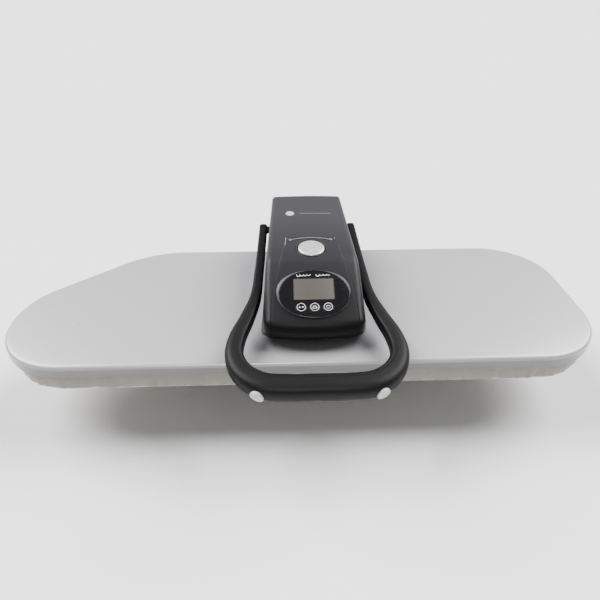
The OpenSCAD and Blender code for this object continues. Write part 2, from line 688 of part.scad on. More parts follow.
// Sweeps a closed section, given for ring i by section(i) as [side, up] pairs, along the line
module sweep(sections, first, last) {
    n = len(sections[0]);
    m = last - first;
    pts = [for (i = [first:last]) let (s = left(tangent(i))) for (q = sections[i])
        [line[i].x + q.x * s.x, line[i].y + q.x * s.y, q.y]];
    faces = concat([[for (k = [n - 1:-1:0]) k]], [[for (k = [0:n - 1]) m * n + k]],
        [for (i = [0:m - 1], k = [0:n - 1]) each
            [[i * n + k, (i + 1) * n + (k + 1) % n, (i + 1) * n + k],
             [i * n + k, i * n + (k + 1) % n, (i + 1) * n + (k + 1) % n]]]);
    polyhedron(pts, faces);
}
core_r = 3.4;
SIDES = 8;
function half_ring(a, b, r, up) = concat(
    [for (k = [0:SIDES]) [a * cos(k * 180 / SIDES), up * b * sin(k * 180 / SIDES) + up * 0.1]],
    [for (k = [SIDES:-1:0]) [r * cos(k * 180 / SIDES), up * r * sin(k * 180 / SIDES) + up * 0.1]]);
function oriented(v, up) = up > 0 ? v : [for (i = [len(v) - 1:-1:0]) v[i]];
// The handle lies in a plane that drops towards the front through the shaft
module handle_place() {
    stand() translate([tower_x, pivot_y, shaft_z]) rotate([handle_slope, 0, 0]) translate([0, -pivot_y, 0])
        children();
}
cap_dir = [0.62, -0.7, -0.35];
module grip_cap_places() {
    for (s = [0, 1]) mirror([s, 0, 0]) translate([bow_half - 19, grip_y + 9, 0])
        rotate([0, acos(cap_dir.z / norm(cap_dir)), atan2(cap_dir.y, cap_dir.x)]) children();
}
cap_disc_r = 9;
cap_root = 9;
module handle_shell(up) {
    handle_place() difference() {
        sweep([for (i = [0:len(line) - 1]) oriented(half_ring(line_a[i], line_b[i], core_r + 0.15, up), up)],
            0, len(line) - 1);
        for (s = [0, 1]) mirror([s, 0, 0]) cross_rod(pivot_y, 0, shaft_r, 20, arm_half);
        grip_cap_places() translate([0, 0, cap_root]) cylinder(h = 20, r = cap_disc_r + 0.1);
    }
}
module handle_upper_shell() { color("#1c1c1e") handle_shell(1); }
module handle_lower_shell() { color("#222224") handle_shell(-1); }
core_first = 2;
module handle_core() {
    color("gray") handle_place() sweep([for (i = [0:len(line) - 1])
        [for (k = [0:7]) [core_r * cos(k * 45), core_r * sin(k * 45)]]], core_first, len(line) - 1 - core_first);
}
// Two half shafts, so that the link can swing through their axis between the crank's cheeks
module handle_shaft() {
    color("silver") handle_place() for (s = [0, 1]) mirror([s, 0, 0])
        cross_rod(pivot_y, 0, shaft_r, fork_in, arm_half);
}
module grip_caps() {
    color("lightgray") handle_place() grip_cap_places() translate([0, 0, cap_root])
        cylinder(h = 6.5, r = cap_disc_r);
}
fork_in = 4;
fork_t = 5;
module shaft_crank() {
    color("silver") tower() difference() {
        for (s = [-1, 1]) side_plate(s * (fork_in + fork_t / 2), fork_t) {
            translate([shaft_y, shaft_z]) circle(11);
            translate([shaft_y - crank_l, shaft_z]) circle(8);
            translate([shaft_y - crank_l, shaft_z - 7]) square([crank_l, 14]);
        }
        cross_rod(shaft_y, shaft_z, shaft_r, -20, 20);
        cross_rod(shaft_y - crank_l, shaft_z, link_pin_r, -20, 20);
    }
}
module crank_pin() {
    color("silver") tower() cross_rod(shaft_y - crank_l, shaft_z, link_pin_r, -fork_in - fork_t, fork_in + fork_t);
}
crank_eye = [shaft_y - crank_l, shaft_z];
base_eye = [link_pin_y, hinge_z + link_rise];
link_l = norm(base_eye - crank_eye);
link_a = atan2((base_eye - crank_eye).y, (base_eye - crank_eye).x);
link_t = 6;
module toggle_link() {
    color("gray") tower() difference() {
        side_plate(0, link_t) translate(crank_eye) rotate(link_a) {
            circle(7);
            translate([0, -4]) square([link_l, 8]);
            translate([link_l, 0]) circle(link_pin_r + open_run + 3);
        }
        cross_rod(crank_eye.x, crank_eye.y, link_pin_r + run, -10, 10);
        cross_rod(base_eye.x, base_eye.y, link_pin_r + open_run, -10, 10);
    }
}

rubber_feet();
base_pan();
bottom_plate();
board_column();
hinge_bracket_left();
hinge_bracket_right();
bracket_bolts();
hinge_pin();
link_pin();
lift_spring();
rear_guard();
cord_inlet();
board_tray();
foam_pad();
board_cover();
board_screws();
shoe_cover();
insulation_mat();
heat_plate();
heating_element();
steam_chamber();
plate_studs();
temperature_sensor();
thermal_fuse();
arm_frame();
hinge_bushes();
shaft_bushes();
tower_shell();
front_fascia();
display_bezel();
display_window();
lcd_module();
control_board();
button_dish();
steam_valve();
water_pump();
water_hoses();
power_board();
tank_tray();
badge();
frame_screws();
valve_stem();
steam_button();
button_spring();
power_key();
heat_key();
timer_key();
handle_upper_shell();
handle_lower_shell();
handle_core();
handle_shaft();
shaft_crank();
crank_pin();
grip_caps();
toggle_link();
water_tank();
tank_cap();
tank_cap_pin();
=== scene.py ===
"""Domestic steam ironing press, closed: silver shoe on a cotton-covered board, steam tower, looped handle."""

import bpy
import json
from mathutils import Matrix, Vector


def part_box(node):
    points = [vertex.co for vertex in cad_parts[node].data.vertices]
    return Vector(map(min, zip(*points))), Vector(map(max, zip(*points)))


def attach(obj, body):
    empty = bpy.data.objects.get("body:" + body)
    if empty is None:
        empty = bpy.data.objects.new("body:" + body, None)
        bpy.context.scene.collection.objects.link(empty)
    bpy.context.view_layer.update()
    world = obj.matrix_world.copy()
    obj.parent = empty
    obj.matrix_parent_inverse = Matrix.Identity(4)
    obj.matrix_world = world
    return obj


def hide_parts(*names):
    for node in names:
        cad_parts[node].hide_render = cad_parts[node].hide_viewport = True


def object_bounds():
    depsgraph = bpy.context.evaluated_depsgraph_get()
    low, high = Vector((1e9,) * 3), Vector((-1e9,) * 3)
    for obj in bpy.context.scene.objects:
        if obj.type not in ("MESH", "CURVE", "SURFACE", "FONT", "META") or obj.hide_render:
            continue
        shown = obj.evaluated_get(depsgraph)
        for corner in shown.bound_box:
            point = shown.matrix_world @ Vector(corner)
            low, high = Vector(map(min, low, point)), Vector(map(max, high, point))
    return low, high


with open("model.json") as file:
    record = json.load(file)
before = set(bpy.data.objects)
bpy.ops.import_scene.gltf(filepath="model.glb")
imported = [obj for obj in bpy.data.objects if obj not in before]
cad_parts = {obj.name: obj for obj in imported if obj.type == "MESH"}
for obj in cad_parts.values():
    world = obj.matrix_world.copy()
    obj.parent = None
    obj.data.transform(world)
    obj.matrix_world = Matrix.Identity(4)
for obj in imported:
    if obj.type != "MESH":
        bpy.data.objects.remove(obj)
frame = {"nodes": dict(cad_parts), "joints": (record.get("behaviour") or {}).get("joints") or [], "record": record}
CAD_BOX = [[float(v) for v in corner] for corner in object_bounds()]

import json
import math
from contextlib import contextmanager

import bmesh
import bpy
import numpy as np
from mathutils import Matrix, Vector
from mathutils.geometry import tessellate_polygon

MM = 0.001

# ---------------------------------------------------------------- where things are
SHOE_LO, SHOE_HI = (np.array(c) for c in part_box("shoe_cover"))
SHOE_MID = np.array([(SHOE_LO[0] + SHOE_HI[0]) / 2, (SHOE_LO[1] + SHOE_HI[1]) / 2, SHOE_HI[2]])
JOINTS = {j["name"]: j for j in frame["joints"]}
HINGE = np.array(JOINTS["shoe_lift"]["pos_m"])
SHAFT = np.array(JOINTS["handle_swing"]["pos_m"])
# Zero of the tower's own measures: on the shoe's top, over the hinge line, at the tower's middle
TOWER = np.array([HINGE[0], HINGE[1], SHOE_HI[2]])


def on_shoe(p):
    """Millimetres from the middle of the shoe's top, as metres in the frame."""
    return SHOE_MID + np.asarray(p, float) * MM


def on_tower(p):
    """Millimetres from the tower's zero, as metres in the frame."""
    return TOWER + np.asarray(p, float) * MM


def placed(name, data):
    """A new object for the data, linked to the scene."""
    made = bpy.data.objects.new(name, data)
    bpy.context.scene.collection.objects.link(made)
    return made


# ---------------------------------------------------------------- camera
def make_camera():
    """A camera in front of and above the board, looking down 34.8 degrees, with a 29.65 mm lens."""
    data = bpy.data.cameras.new("camera")
    data.lens, data.sensor_width = 29.65, 36.0
    camera = placed("camera", data)
    pitch, yaw, roll = (math.radians(a) for a in (34.79, 2.35, 0.33))
    look = Vector((math.sin(yaw) * math.cos(pitch), math.cos(yaw) * math.cos(pitch), -math.sin(pitch)))
    right = Vector((math.cos(yaw), -math.sin(yaw), 0))
    up = right.cross(look)
    x_axis = right * math.cos(roll) + up * math.sin(roll)
    y_axis = up * math.cos(roll) - right * math.sin(roll)
    turn = Matrix((x_axis, y_axis, -look)).transposed().to_4x4()
    camera.matrix_world = Matrix.Translation(Vector(on_shoe((-27.4, -606.5, 415.8)))) @ turn
    bpy.context.scene.camera = camera


make_camera()


# ---------------------------------------------------------------- materials
def rgb(code):
    """An sRGB hex colour as linear red, green, blue and alpha."""
    c = np.array([int(code[i:i + 2], 16) for i in (0, 2, 4)]) / 255
    c = np.where(c <= 0.04045, c / 12.92, ((c + 0.055) / 1.055) ** 2.4)
    return (*c, 1.0)


def add(tree, kind, ins=(), **settings):
    """Adds a node, sets its properties, and links or fills its inputs."""
    made = tree.nodes.new(kind)
    for key, value in settings.items():
        setattr(made, key, value)
    for key, value in dict(ins).items():
        if isinstance(value, bpy.types.NodeSocket):
            tree.links.new(value, made.inputs[key])
        else:
            made.inputs[key].default_value = value
    return made


def blank(name):
    """A new material, its node tree, its shader and the object coordinates."""
    made = bpy.data.materials.new(name)
    made.use_nodes = True
    tree = made.node_tree
    tree.nodes.clear()
    shader = add(tree, "ShaderNodeBsdfPrincipled")
    out = add(tree, "ShaderNodeOutputMaterial")
    tree.links.new(shader.outputs[0], out.inputs["Surface"])
    where = add(tree, "ShaderNodeTexCoord").outputs["Object"]
    return made, tree, shader, where


def noise(tree, where, size_mm, detail=3.0, roughness=0.5, stretch=(1, 1, 1)):
    """Noise whose patches are about size_mm across, stretched by the given factors."""
    spread = add(tree, "ShaderNodeMapping", {"Vector": where, "Scale": tuple(1 / s for s in stretch)})
    return add(tree, "ShaderNodeTexNoise", {"Vector": spread.outputs[0], "Scale": 1 / (size_mm * MM),
                                            "Detail": detail, "Roughness": roughness}).outputs["Fac"]


def between(tree, factor, low, high):
    """A number that goes from low to high as factor goes from 0.3 to 0.7."""
    return add(tree, "ShaderNodeMapRange", {"Value": factor, "From Min": 0.3, "From Max": 0.7,
                                            "To Min": low, "To Max": high}).outputs["Result"]


# The mix node's two colour sockets; their names are shared with its number and vector sockets
COLOUR_ENDS = (6, 7)


def mixed(tree, factor, low, high):
    """A colour between two colours, each a hex code or a colour socket."""
    made = add(tree, "ShaderNodeMix", data_type="RGBA")
    tree.links.new(factor, made.inputs["Factor"])
    for socket, end in zip(COLOUR_ENDS, (low, high)):
        if isinstance(end, str):
            made.inputs[socket].default_value = rgb(end)
        else:
            tree.links.new(end, made.inputs[socket])
    return made.outputs[2]


def bumped(tree, shader, height, depth_mm):
    """Relief of depth_mm from a height between 0 and 1."""
    made = add(tree, "ShaderNodeBump", {"Height": height, "Distance": depth_mm * MM, "Strength": 1.0})
    tree.links.new(made.outputs[0], shader.inputs["Normal"])


def finish_of(shader, **values):
    """Sets constants on the shader's own sockets."""
    for key, value in values.items():
        shader.inputs[key.replace("_", " ")].default_value = value


def silver_enamel_painted_rim_shade():
    """Silver stoving enamel on pressed steel: fine metal flake, faint orange peel, soft gloss, and painted shade
    on the upright rim: its base colour is darker below the rounded edge, so that the rim reads darker than the
    top."""
    made, tree, shader, where = blank("silver_enamel_painted_rim_shade")
    flake = noise(tree, where, 0.5, 2.0)
    height = add(tree, "ShaderNodeSeparateXYZ", {"Vector": where}).outputs["Z"]
    # painted shade: the base colour goes from dark grey on the rim to silver on the top, over the 3 mm that end
    # 3.5 mm below the top
    top = add(tree, "ShaderNodeMapRange", {"Value": height, "From Min": SHOE_HI[2] - 6.5 * MM,
                                           "From Max": SHOE_HI[2] - 3.5 * MM}).outputs["Result"]
    tree.links.new(mixed(tree, top, "5c5a58", "a8a8ab"), shader.inputs["Base Color"])
    tree.links.new(between(tree, flake, 0.33, 0.41), shader.inputs["Roughness"])
    finish_of(shader, Metallic=0.08, Coat_Weight=0.6, Coat_Roughness=0.16)
    bumped(tree, shader, noise(tree, where, 3.5, 1.0), 0.012)
    return made


def woven_grey_cotton():
    """Grey woven cotton, brushed: upright yarns about 1.6 mm apart crossed by a weft, under lint and faint
    stains, so that the cloth reads as fibrous and matt beside the enamel."""
    made, tree, shader, where = blank("woven_grey_cotton")
    yarns = noise(tree, where, 1.6, 3.0, 0.6, (1, 1, 7))
    weft = noise(tree, where, 1.4, 2.0, 0.5, (7, 7, 1))
    lint = noise(tree, where, 9.0, 4.0, 0.65, (1, 1, 1.8))
    stain = noise(tree, where, 46.0, 2.0)
    cloth = add(tree, "ShaderNodeMath", {0: yarns, 1: weft}, operation="ADD").outputs[0]
    half = add(tree, "ShaderNodeMath", {0: cloth, 1: 0.5}, operation="MULTIPLY").outputs[0]
    tone = mixed(tree, half, mixed(tree, stain, "78746d", "858078"), mixed(tree, lint, "858078", "a09b92"))
    tree.links.new(tone, shader.inputs["Base Color"])
    finish_of(shader, Roughness=0.95, Sheen_Weight=0.35, Sheen_Roughness=0.5)
    bumped(tree, shader, add(tree, "ShaderNodeMath", {0: half, 1: lint}, operation="ADD").outputs[0], 0.35)
    return made


def moulded_abs(name, low, high, rough, coat=0.0, grain_mm=0.9, depth_mm=0.012, gloss=0.35, fade=None):
    """Injection-moulded ABS: even colour, faint flow clouding, a spark-eroded grain that softens its shine.
    With fade, two places along y in tower millimetres, the tone goes from low at one to high at the other, as
    painted shade."""
    made, tree, shader, where = blank(name)
    grain = noise(tree, where, grain_mm, 2.0)
    # painted shade: with fade, the base colour darkens towards the first place
    if fade:
        along = add(tree, "ShaderNodeSeparateXYZ", {"Vector": where}).outputs["Y"]
        start, stop = (TOWER[1] + y * MM for y in fade)
        tone = add(tree, "ShaderNodeMapRange",
                   {"Value": along, "From Min": start, "From Max": stop}).outputs["Result"]
    else:
        tone = noise(tree, where, 30.0, 2.0)
    tree.links.new(mixed(tree, tone, low, high), shader.inputs["Base Color"])
    tree.links.new(between(tree, grain, rough - 0.04, rough + 0.05), shader.inputs["Roughness"])
    finish_of(shader, Coat_Weight=coat, Coat_Roughness=0.18, Specular_IOR_Level=gloss)
    bumped(tree, shader, grain, depth_mm)
    return made


def polished_black_acrylic():
    """Gloss black acrylic window: deep black, with a few hairline scuffs that break its reflections."""
    made, tree, shader, where = blank("polished_black_acrylic")
    scuff = noise(tree, where, 2.5, 4.0, 0.7, (5, 1, 1))
    tree.links.new(mixed(tree, scuff, "0e0d10", "131215"), shader.inputs["Base Color"])
    tree.links.new(between(tree, scuff, 0.12, 0.2), shader.inputs["Roughness"])
    finish_of(shader, Specular_IOR_Level=0.4)
    return made


def unlit_lcd():
    """Unlit liquid crystal glass: warm grey-brown with a faint cell grid and a pale bloom."""
    made, tree, shader, where = blank("unlit_lcd")
    bloom = noise(tree, where, 22.0, 1.0)
    cells = add(tree, "ShaderNodeTexBrick",
                {"Vector": where, "Scale": 1 / (3 * MM), "Color1": rgb("433e38"), "Color2": rgb("413b36"),
                 "Mortar": rgb("3e3833"), "Mortar Size": 0.03}).outputs["Color"]
    tree.links.new(mixed(tree, bloom, cells, "48423b"), shader.inputs["Base Color"])
    finish_of(shader, Roughness=0.42)
    return made


def plated(name, low, high, rough, grain_mm=0.6, stretch=(1, 1, 1), depth_mm=0.01, metal=1.0):
    """Metal, or plastic under a metal lacquer, with a worked surface: gloss and tone vary along its grain."""
    made, tree, shader, where = blank(name)
    grain = noise(tree, where, grain_mm, 3.0, 0.6, stretch)
    cloud = noise(tree, where, 18.0, 2.0)
    tree.links.new(mixed(tree, cloud, low, high), shader.inputs["Base Color"])
    tree.links.new(between(tree, grain, rough - 0.07, rough + 0.08), shader.inputs["Roughness"])
    finish_of(shader, Metallic=metal)
    bumped(tree, shader, grain, depth_mm)
    return made


def printed_ink(name, low, high):
    """Screen-printed ink: matt, slightly uneven in cover, so that signs look printed, not lit."""
    made, tree, shader, where = blank(name)
    tree.links.new(mixed(tree, noise(tree, where, 1.2, 2.0), low, high), shader.inputs["Base Color"])
    finish_of(shader, Roughness=0.6)
    return made


def porous(name, low, high, size_mm, depth_mm, rough=0.95):
    """Foam, felt, rubber, silicone or glaze: pores or fibres of the given size give it its tooth."""
    made, tree, shader, where = blank(name)
    pores = noise(tree, where, size_mm, 5.0, 0.7)
    tree.links.new(mixed(tree, pores, low, high), shader.inputs["Base Color"])
    finish_of(shader, Roughness=rough)
    bumped(tree, shader, pores, depth_mm)
    return made


def smoked_polycarbonate():
    """Moulded clear polycarbonate: a grey-blue tint and faint flow lines show that it is a see-through tank."""
    made, tree, shader, where = blank("smoked_polycarbonate")
    flow = noise(tree, where, 6.0, 2.0, 0.5, (1, 4, 1))
    tree.links.new(mixed(tree, flow, "8fa3b4", "9fb1c0"), shader.inputs["Base Color"])
    finish_of(shader, Roughness=0.12, Transmission_Weight=0.75, IOR=1.45)
    return made


def circuit_laminate():
    """Green solder mask over copper tracks: two greens in a block pattern read as a circuit board."""
    made, tree, shader, where = blank("circuit_laminate")
    tracks = add(tree, "ShaderNodeTexBrick",
                 {"Vector": where, "Scale": 1 / (6 * MM), "Color1": rgb("1d5a34"), "Color2": rgb("2a6f42"),
                  "Mortar": rgb("17472a")}).outputs["Color"]
    tree.links.new(tracks, shader.inputs["Base Color"])
    finish_of(shader, Roughness=0.35)
    return made


ENAMEL = silver_enamel_painted_rim_shade()
COTTON = woven_grey_cotton()
# painted shade: the tower shell and the fascia darken from y -80 towards the nose and chin at y -292, which face
# down and forward
CHARCOAL = moulded_abs("satin_charcoal_abs_painted_nose_shade", "0b0a0c", "37363a", 0.46, gloss=0.18, fade=(-292, -80))
FASCIA = moulded_abs("satin_fascia_abs_painted_nose_shade", "0b0a0c", "37363a", 0.5, gloss=0.12, fade=(-292, -80))
HANDLE_BLACK = moulded_abs("satin_black_abs", "09090a", "0c0c0d", 0.48, gloss=0.14)
DISH_BLACK = moulded_abs("matt_black_abs", "161618", "1b1b1d", 0.5)
BEZEL_GREY = moulded_abs("satin_grey_abs", "403f43", "48474b", 0.42)
CAP_GREY = moulded_abs("light_grey_abs", "b2b2b2", "bcbcbc", 0.38, 0.1)
BASE_PAINT = moulded_abs("grey_powder_coat", "a3a4a7", "adaeb1", 0.5, 0.0, 1.4, 0.05)
WINDOW_BLACK = polished_black_acrylic()
LCD = unlit_lcd()
INK_WHITE = printed_ink("white_screen_ink", "d8d8d8", "e6e6e6")
INK_GREY = printed_ink("grey_screen_ink", "8e8d92", "9a999e")
NICKEL = plated("silver_lacquered_abs", "cfcfce", "dadad9", 0.36, metal=0.6)
ZINC = plated("zinc_plated_steel", "b9bcc0", "c8cacd", 0.33, 0.8, (6, 1, 1))
ALUMINIUM = plated("milled_aluminium", "c6c8ca", "d2d3d5", 0.36, 0.5, (12, 1, 1), 0.006)
BRASS = plated("turned_brass", "c9a760", "d6b570", 0.3, 0.5, (1, 8, 8))
RUBBER = porous("moulded_black_rubber", "1c1c1d", "242425", 1.2, 0.02, 0.8)
FOAM = porous("open_cell_foam", "c9bd98", "d8cdaa", 1.1, 0.4)
FELT = porous("ceramic_fibre_felt", "d8d5cb", "e6e3da", 1.6, 0.3)
SILICONE = porous("translucent_silicone", "cfcfca", "dcdcd8", 2.0, 0.01, 0.4)
CERAMIC = porous("glazed_ceramic", "e2e0da", "ecebe6", 3.0, 0.005, 0.2)
TANK_CLEAR = smoked_polycarbonate()
PCB = circuit_laminate()
BLACKED = plated("black_oxide_steel", "161617", "1d1d1f", 0.5, 0.8, (6, 1, 1))

SLOT_FINISH = {
    "rubber": RUBBER, "base_paint": BASE_PAINT, "steel": ZINC, "cotton": COTTON, "foam": FOAM, "mat": FELT,
    "shoe_paint": ENAMEL, "cast_aluminium": ALUMINIUM, "brass": BRASS, "ceramic": CERAMIC, "charcoal": CHARCOAL,
    "black": DISH_BLACK, "bezel": BEZEL_GREY, "window": WINDOW_BLACK, "lcd": LCD, "board": PCB,
    "keys": WINDOW_BLACK, "bright": NICKEL, "light_grey": CAP_GREY, "clear": TANK_CLEAR, "silicone": SILICONE}
BLACKED_NODES = ("handle_shaft", "arm_frame")
SLOT_OF = {s["node"]: s["material_slot"] for s in frame["record"]["subparts"]}
BODY_OF = {n: b for b, ns in frame["record"]["behaviour"]["bodies"].items() for n in ns}


def dress_cad_nodes():
    """Gives every CAD node the finish of its material slot, and two steel nodes a blacked one."""
    for name, thing in frame["nodes"].items():
        thing.data.materials.clear()
        thing.data.materials.append(BLACKED if name in BLACKED_NODES else SLOT_FINISH[SLOT_OF[name]])


dress_cad_nodes()


# ---------------------------------------------------------------- mesh making
@contextmanager
def opened(mesh):
    """A mesh opened for edits, which are written back at the end."""
    work = bmesh.new()
    work.from_mesh(mesh)
    yield work
    work.to_mesh(mesh)
    work.free()


def put_in(name, points, faces, material, body, node=None, extra=(), smooth=True, turn_out=True):
    """Makes a mesh object from points and faces, turns its faces outwards and lets it ride on a body."""
    mesh = bpy.data.meshes.new(name)
    mesh.from_pydata([tuple(p) for p in np.asarray(points, float)], [], [tuple(f) for f in faces])
    mesh.materials.append(material)
    mesh.polygons.foreach_set("use_smooth", [smooth] * len(mesh.polygons))
    if turn_out:
        with opened(mesh) as work:
            bmesh.ops.remove_doubles(work, verts=work.verts, dist=1e-6)
            bmesh.ops.recalc_face_normals(work, faces=work.faces)
    made = placed(name, mesh)
    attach(made, body)
    if node:
        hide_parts(node, *extra)
    return made


def grid_faces(rows, columns, wrap):
    """Four-sided faces of a grid of points, its columns joined into rings where wrap is true."""
    last = columns if wrap else columns - 1
    r, c = np.meshgrid(np.arange(rows - 1), np.arange(last), indexing="ij")
    nxt = (c + 1) % columns
    return np.stack([r * columns + c, r * columns + nxt, (r + 1) * columns + nxt, (r + 1) * columns + c],
                    -1).reshape(-1, 4)


def ringed(rings):
    """Points and faces of closed rings joined in order, the first and last closed by a fan to their middle."""
    rings = np.asarray(rings, float)
    m, n = rings.shape[:2]
    points = rings.reshape(-1, 3)
    faces = [tuple(f) for f in grid_faces(m, n, True)]
    for end in (0, m - 1):
        points = np.vstack([points, rings[end].mean(0)])
        faces += [(end * n + k, end * n + (k + 1) % n, len(points) - 1) for k in range(n)]
    return points, faces


def sharp_below(made, degrees):
    """Keeps edges sharper than an angle crisp in the shading."""
    with opened(made.data) as work:
        for edge in work.edges:
            if len(edge.link_faces) == 2 and edge.calc_face_angle(0) > math.radians(degrees):
                edge.smooth = False


def even(points, count, closed=False):
    """Points spaced evenly by length along a line through the given points."""
    p = np.asarray(points, float)
    if closed:
        p = np.vstack([p, p[:1]])
    along = np.concatenate([[0], np.cumsum(np.linalg.norm(np.diff(p, axis=0), axis=1))])
    wanted = np.linspace(0, along[-1], count + 1)[:-1] if closed else np.linspace(0, along[-1], count)
    return np.stack([np.interp(wanted, along, p[:, k]) for k in range(p.shape[1])], -1)


def smooth_step(x, low, high):
    """0 below low, 1 above high, with an even turn between."""
    t = np.clip((np.asarray(x, float) - low) / (high - low), 0, 1)
    return t * t * (3 - 2 * t)


def rounded_line(corners, radii, closed=True, steps=14):
    """Points along a line whose corners are arcs of the given radii; also the unit normals to its left."""
    p = np.asarray(corners, float)
    points, normals = [], []
    for i in range(len(p)):
        if not closed and i in (0, len(p) - 1):
            other = p[1] - p[0] if i == 0 else p[-1] - p[-2]
            other = other / np.linalg.norm(other)
            points.append(p[i])
            normals.append((-other[1], other[0]))
            continue
        u = p[i] - p[i - 1]
        w = p[(i + 1) % len(p)] - p[i]
        u, w = u / np.linalg.norm(u), w / np.linalg.norm(w)
        turn = math.atan2(u[0] * w[1] - u[1] * w[0], u @ w)
        side = math.copysign(1, turn)
        lu, lw = np.array([-u[1], u[0]]), np.array([-w[1], w[0]])
        middle = p[i] + side * radii[i] * (lu + lw) / (1 + lu @ lw)
        for a in np.linspace(0, turn, steps):
            n = lu * math.cos(a) - u * math.sin(a)
            points.append(middle - side * radii[i] * n)
            normals.append(n)
    return np.array(points), np.array(normals)


# ---------------------------------------------------------------- shoe and board
SHOE_L, SHOE_D = (SHOE_HI - SHOE_LO)[:2] / MM
CUT_X, CUT_Y = 157.6, 141.4
CORNERS = [(-SHOE_L / 2, -SHOE_D / 2), (SHOE_L / 2, -SHOE_D / 2), (SHOE_L / 2, SHOE_D / 2),
           (-SHOE_L / 2 + CUT_X, SHOE_D / 2), (-SHOE_L / 2, SHOE_D / 2 - CUT_Y)]
RADII = [97, 97, 97, 141, 105]


def board_line(count):
    """The board's outline and the unit vectors that point into it, spaced evenly."""
    points, normals = rounded_line(CORNERS, RADII)
    both = np.hstack([points, normals])
    steps = np.diff(np.vstack([points, points[:1]]), axis=0)
    length = np.concatenate([[0], np.cumsum(np.linalg.norm(steps, axis=1))])
    wanted = np.linspace(0, length[-1], count + 1)[:-1]
    both = np.vstack([both, both[:1]])
    out = np.stack([np.interp(wanted, length, both[:, k]) for k in range(4)], -1)
    inward = out[:, 2:] / np.linalg.norm(out[:, 2:], axis=1, keepdims=True)
    return out[:, :2], inward


def board_rings(profile, count):
    """Rings round the board: each (inset, height) of the profile moves the outline inwards and sets its height.
    An inset over 90 mm shrinks the 90 mm ring towards its middle instead, so that it never crosses itself."""
    line, inward = board_line(count)
    rings = []
    for inset, height in profile:
        flat = line + inward * min(inset, 90)
        if inset > 90:
            centre = flat.mean(0)
            flat = centre + (flat - centre) * (1 - (inset - 90) / 100)
        rings.append(np.column_stack([flat, np.full(count, height)]))
    return np.array(rings)


def make_shoe_cover():
    """Pressed steel lid: a faintly crowned top, a rounded edge, an upright rim and a hem rolled inwards."""
    edge, rim, sheet, crown, roll = 5.0, 17.0, 1.2, 0.9, 0.75
    top = [(i, -crown * (1 - min(i / 90, 1)) ** 3) for i in (130, 90, 80, 68, 55, 42, 30, 20, 12, 8)]
    top += [(edge - edge * math.sin(a), -crown * 0.85 - edge + edge * math.cos(a))
            for a in np.radians(np.linspace(0, 90, 9))]
    side = [(0.05, -9), (0.15, -12), (0.2, -rim + 1.4)]
    hem = [(0.9 - roll * math.cos(a), -rim + roll - roll * math.sin(a))
           for a in np.radians(np.linspace(0, 180, 7))]
    inner = [(sheet + 0.5, -10), (sheet + 0.6, -edge - 1.5), (edge + 0.6, -crown - sheet - 0.3),
             (20, -crown - sheet), (90, -sheet - 0.3), (130, -sheet)]
    points, faces = ringed(board_rings(top + side + hem + inner, 420))
    put_in("shoe_cover_lid", on_shoe(points), faces, ENAMEL, "pressing_arm", "shoe_cover")


def make_board_cover():
    """Cotton cover over its foam: full sides that bulge between the top edge and the drawn-in hem underneath,
    small upright gathers along the hem, pressed flat where the shoe lies on it."""
    lo, hi = (np.array(c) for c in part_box("board_cover"))
    top = (hi[2] - SHOE_HI[2]) / MM
    bottom = (lo[2] - SHOE_HI[2]) / MM
    inset = (lo[0] - SHOE_LO[0]) / MM
    tall = top - bottom
    profile = [(i, top) for i in (185, 140, 90, 60, 30, 16, 10)]
    profile += [(inset + 2.6 - 2.6 * math.sin(a), top - 2.6 + 2.6 * math.cos(a)) for a in
                np.radians(np.linspace(10, 80, 5))]
    rise = np.linspace(0.12, 0.86, 15)
    profile += [(inset + 0.9 - 1.5 * math.sin(math.pi * t), top - tall * t) for t in rise]
    profile += [(inset + i, bottom + up) for i, up in (
        (1.5, 2.4), (3.2, 0.9), (6, 0.2), (12, 0), (20, 0.2), (22, 1.0), (22, 2.2))]
    profile += [(i, bottom + 2.4) for i in (60, 90, 185)]
    count = 900
    rings = board_rings(profile, count)
    line, inward = board_line(count)
    step = np.linalg.norm(line[1] - line[0])
    along = np.arange(count) * step
    length = count * step
    depth = np.clip((top - rings[:, 0, 2]) / tall, 0, 1)[:, None]
    random = np.random.default_rng(7)
    pleat = np.zeros(count)
    for period in (7.3, 11.9, 17.1, 29.0, 53.0):
        turns = round(length / period)
        pleat += math.sqrt(period / 29.0) * np.sin(2 * math.pi * (turns * along / length + random.random()))
    pleat *= 0.35
    creases = np.zeros((len(profile), count))
    for _ in range(70):
        place, lean, wide = random.random() * length, random.normal(0, 9), random.uniform(1.2, 3.2)
        deep, start, stop = random.uniform(0.25, 0.8), random.uniform(0, 0.35), random.uniform(0.55, 1.0)
        away = (along[None] - place - lean * depth + length / 2) % length - length / 2
        creases -= deep * np.exp(-(away / wide) ** 2) * smooth_step(depth, start, start + .15) * (
            1 - smooth_step(depth, stop, stop + .15))
    side = smooth_step(depth, 0.05, 0.3) * (1 - smooth_step(depth, 0.97, 1.0))
    move = (pleat[None] * (0.35 + 0.9 * depth ** 2) + creases) * side
    rings[:, :, :2] -= inward[None] * move[:, :, None]
    points, faces = ringed(rings)
    return put_in("board_cover_cloth", on_shoe(points), faces, COTTON, "base", "board_cover")


make_shoe_cover()
cover = make_board_cover()

# ---------------------------------------------------------------- control tower
TOP_BACK, CREST, PANEL_TILT = (-22.0, 97.0), (-200.0, 82.0), 27.0
FLOOR_Z, SEAM, BAY_TOP, FASCIA_BACK = 6.0, 0.35, 82.3, -149.0
DISH_Y, PANEL_Y, BADGE_Y = -176.0, -249.5, -80.0
SIDE = [(15.0, 9.0), (9.5, 60.0), TOP_BACK, CREST,
        (-290.0, CREST[1] - 90 * math.tan(math.radians(PANEL_TILT))), (-294.5, 21.0), (-279.0, FLOOR_Z)]
SIDE_RADII = [0, 26, 7, 45, 13, 12, 0]
TOP_TILT = math.degrees(math.atan((TOP_BACK[1] - CREST[1]) / (TOP_BACK[0] - CREST[0])))


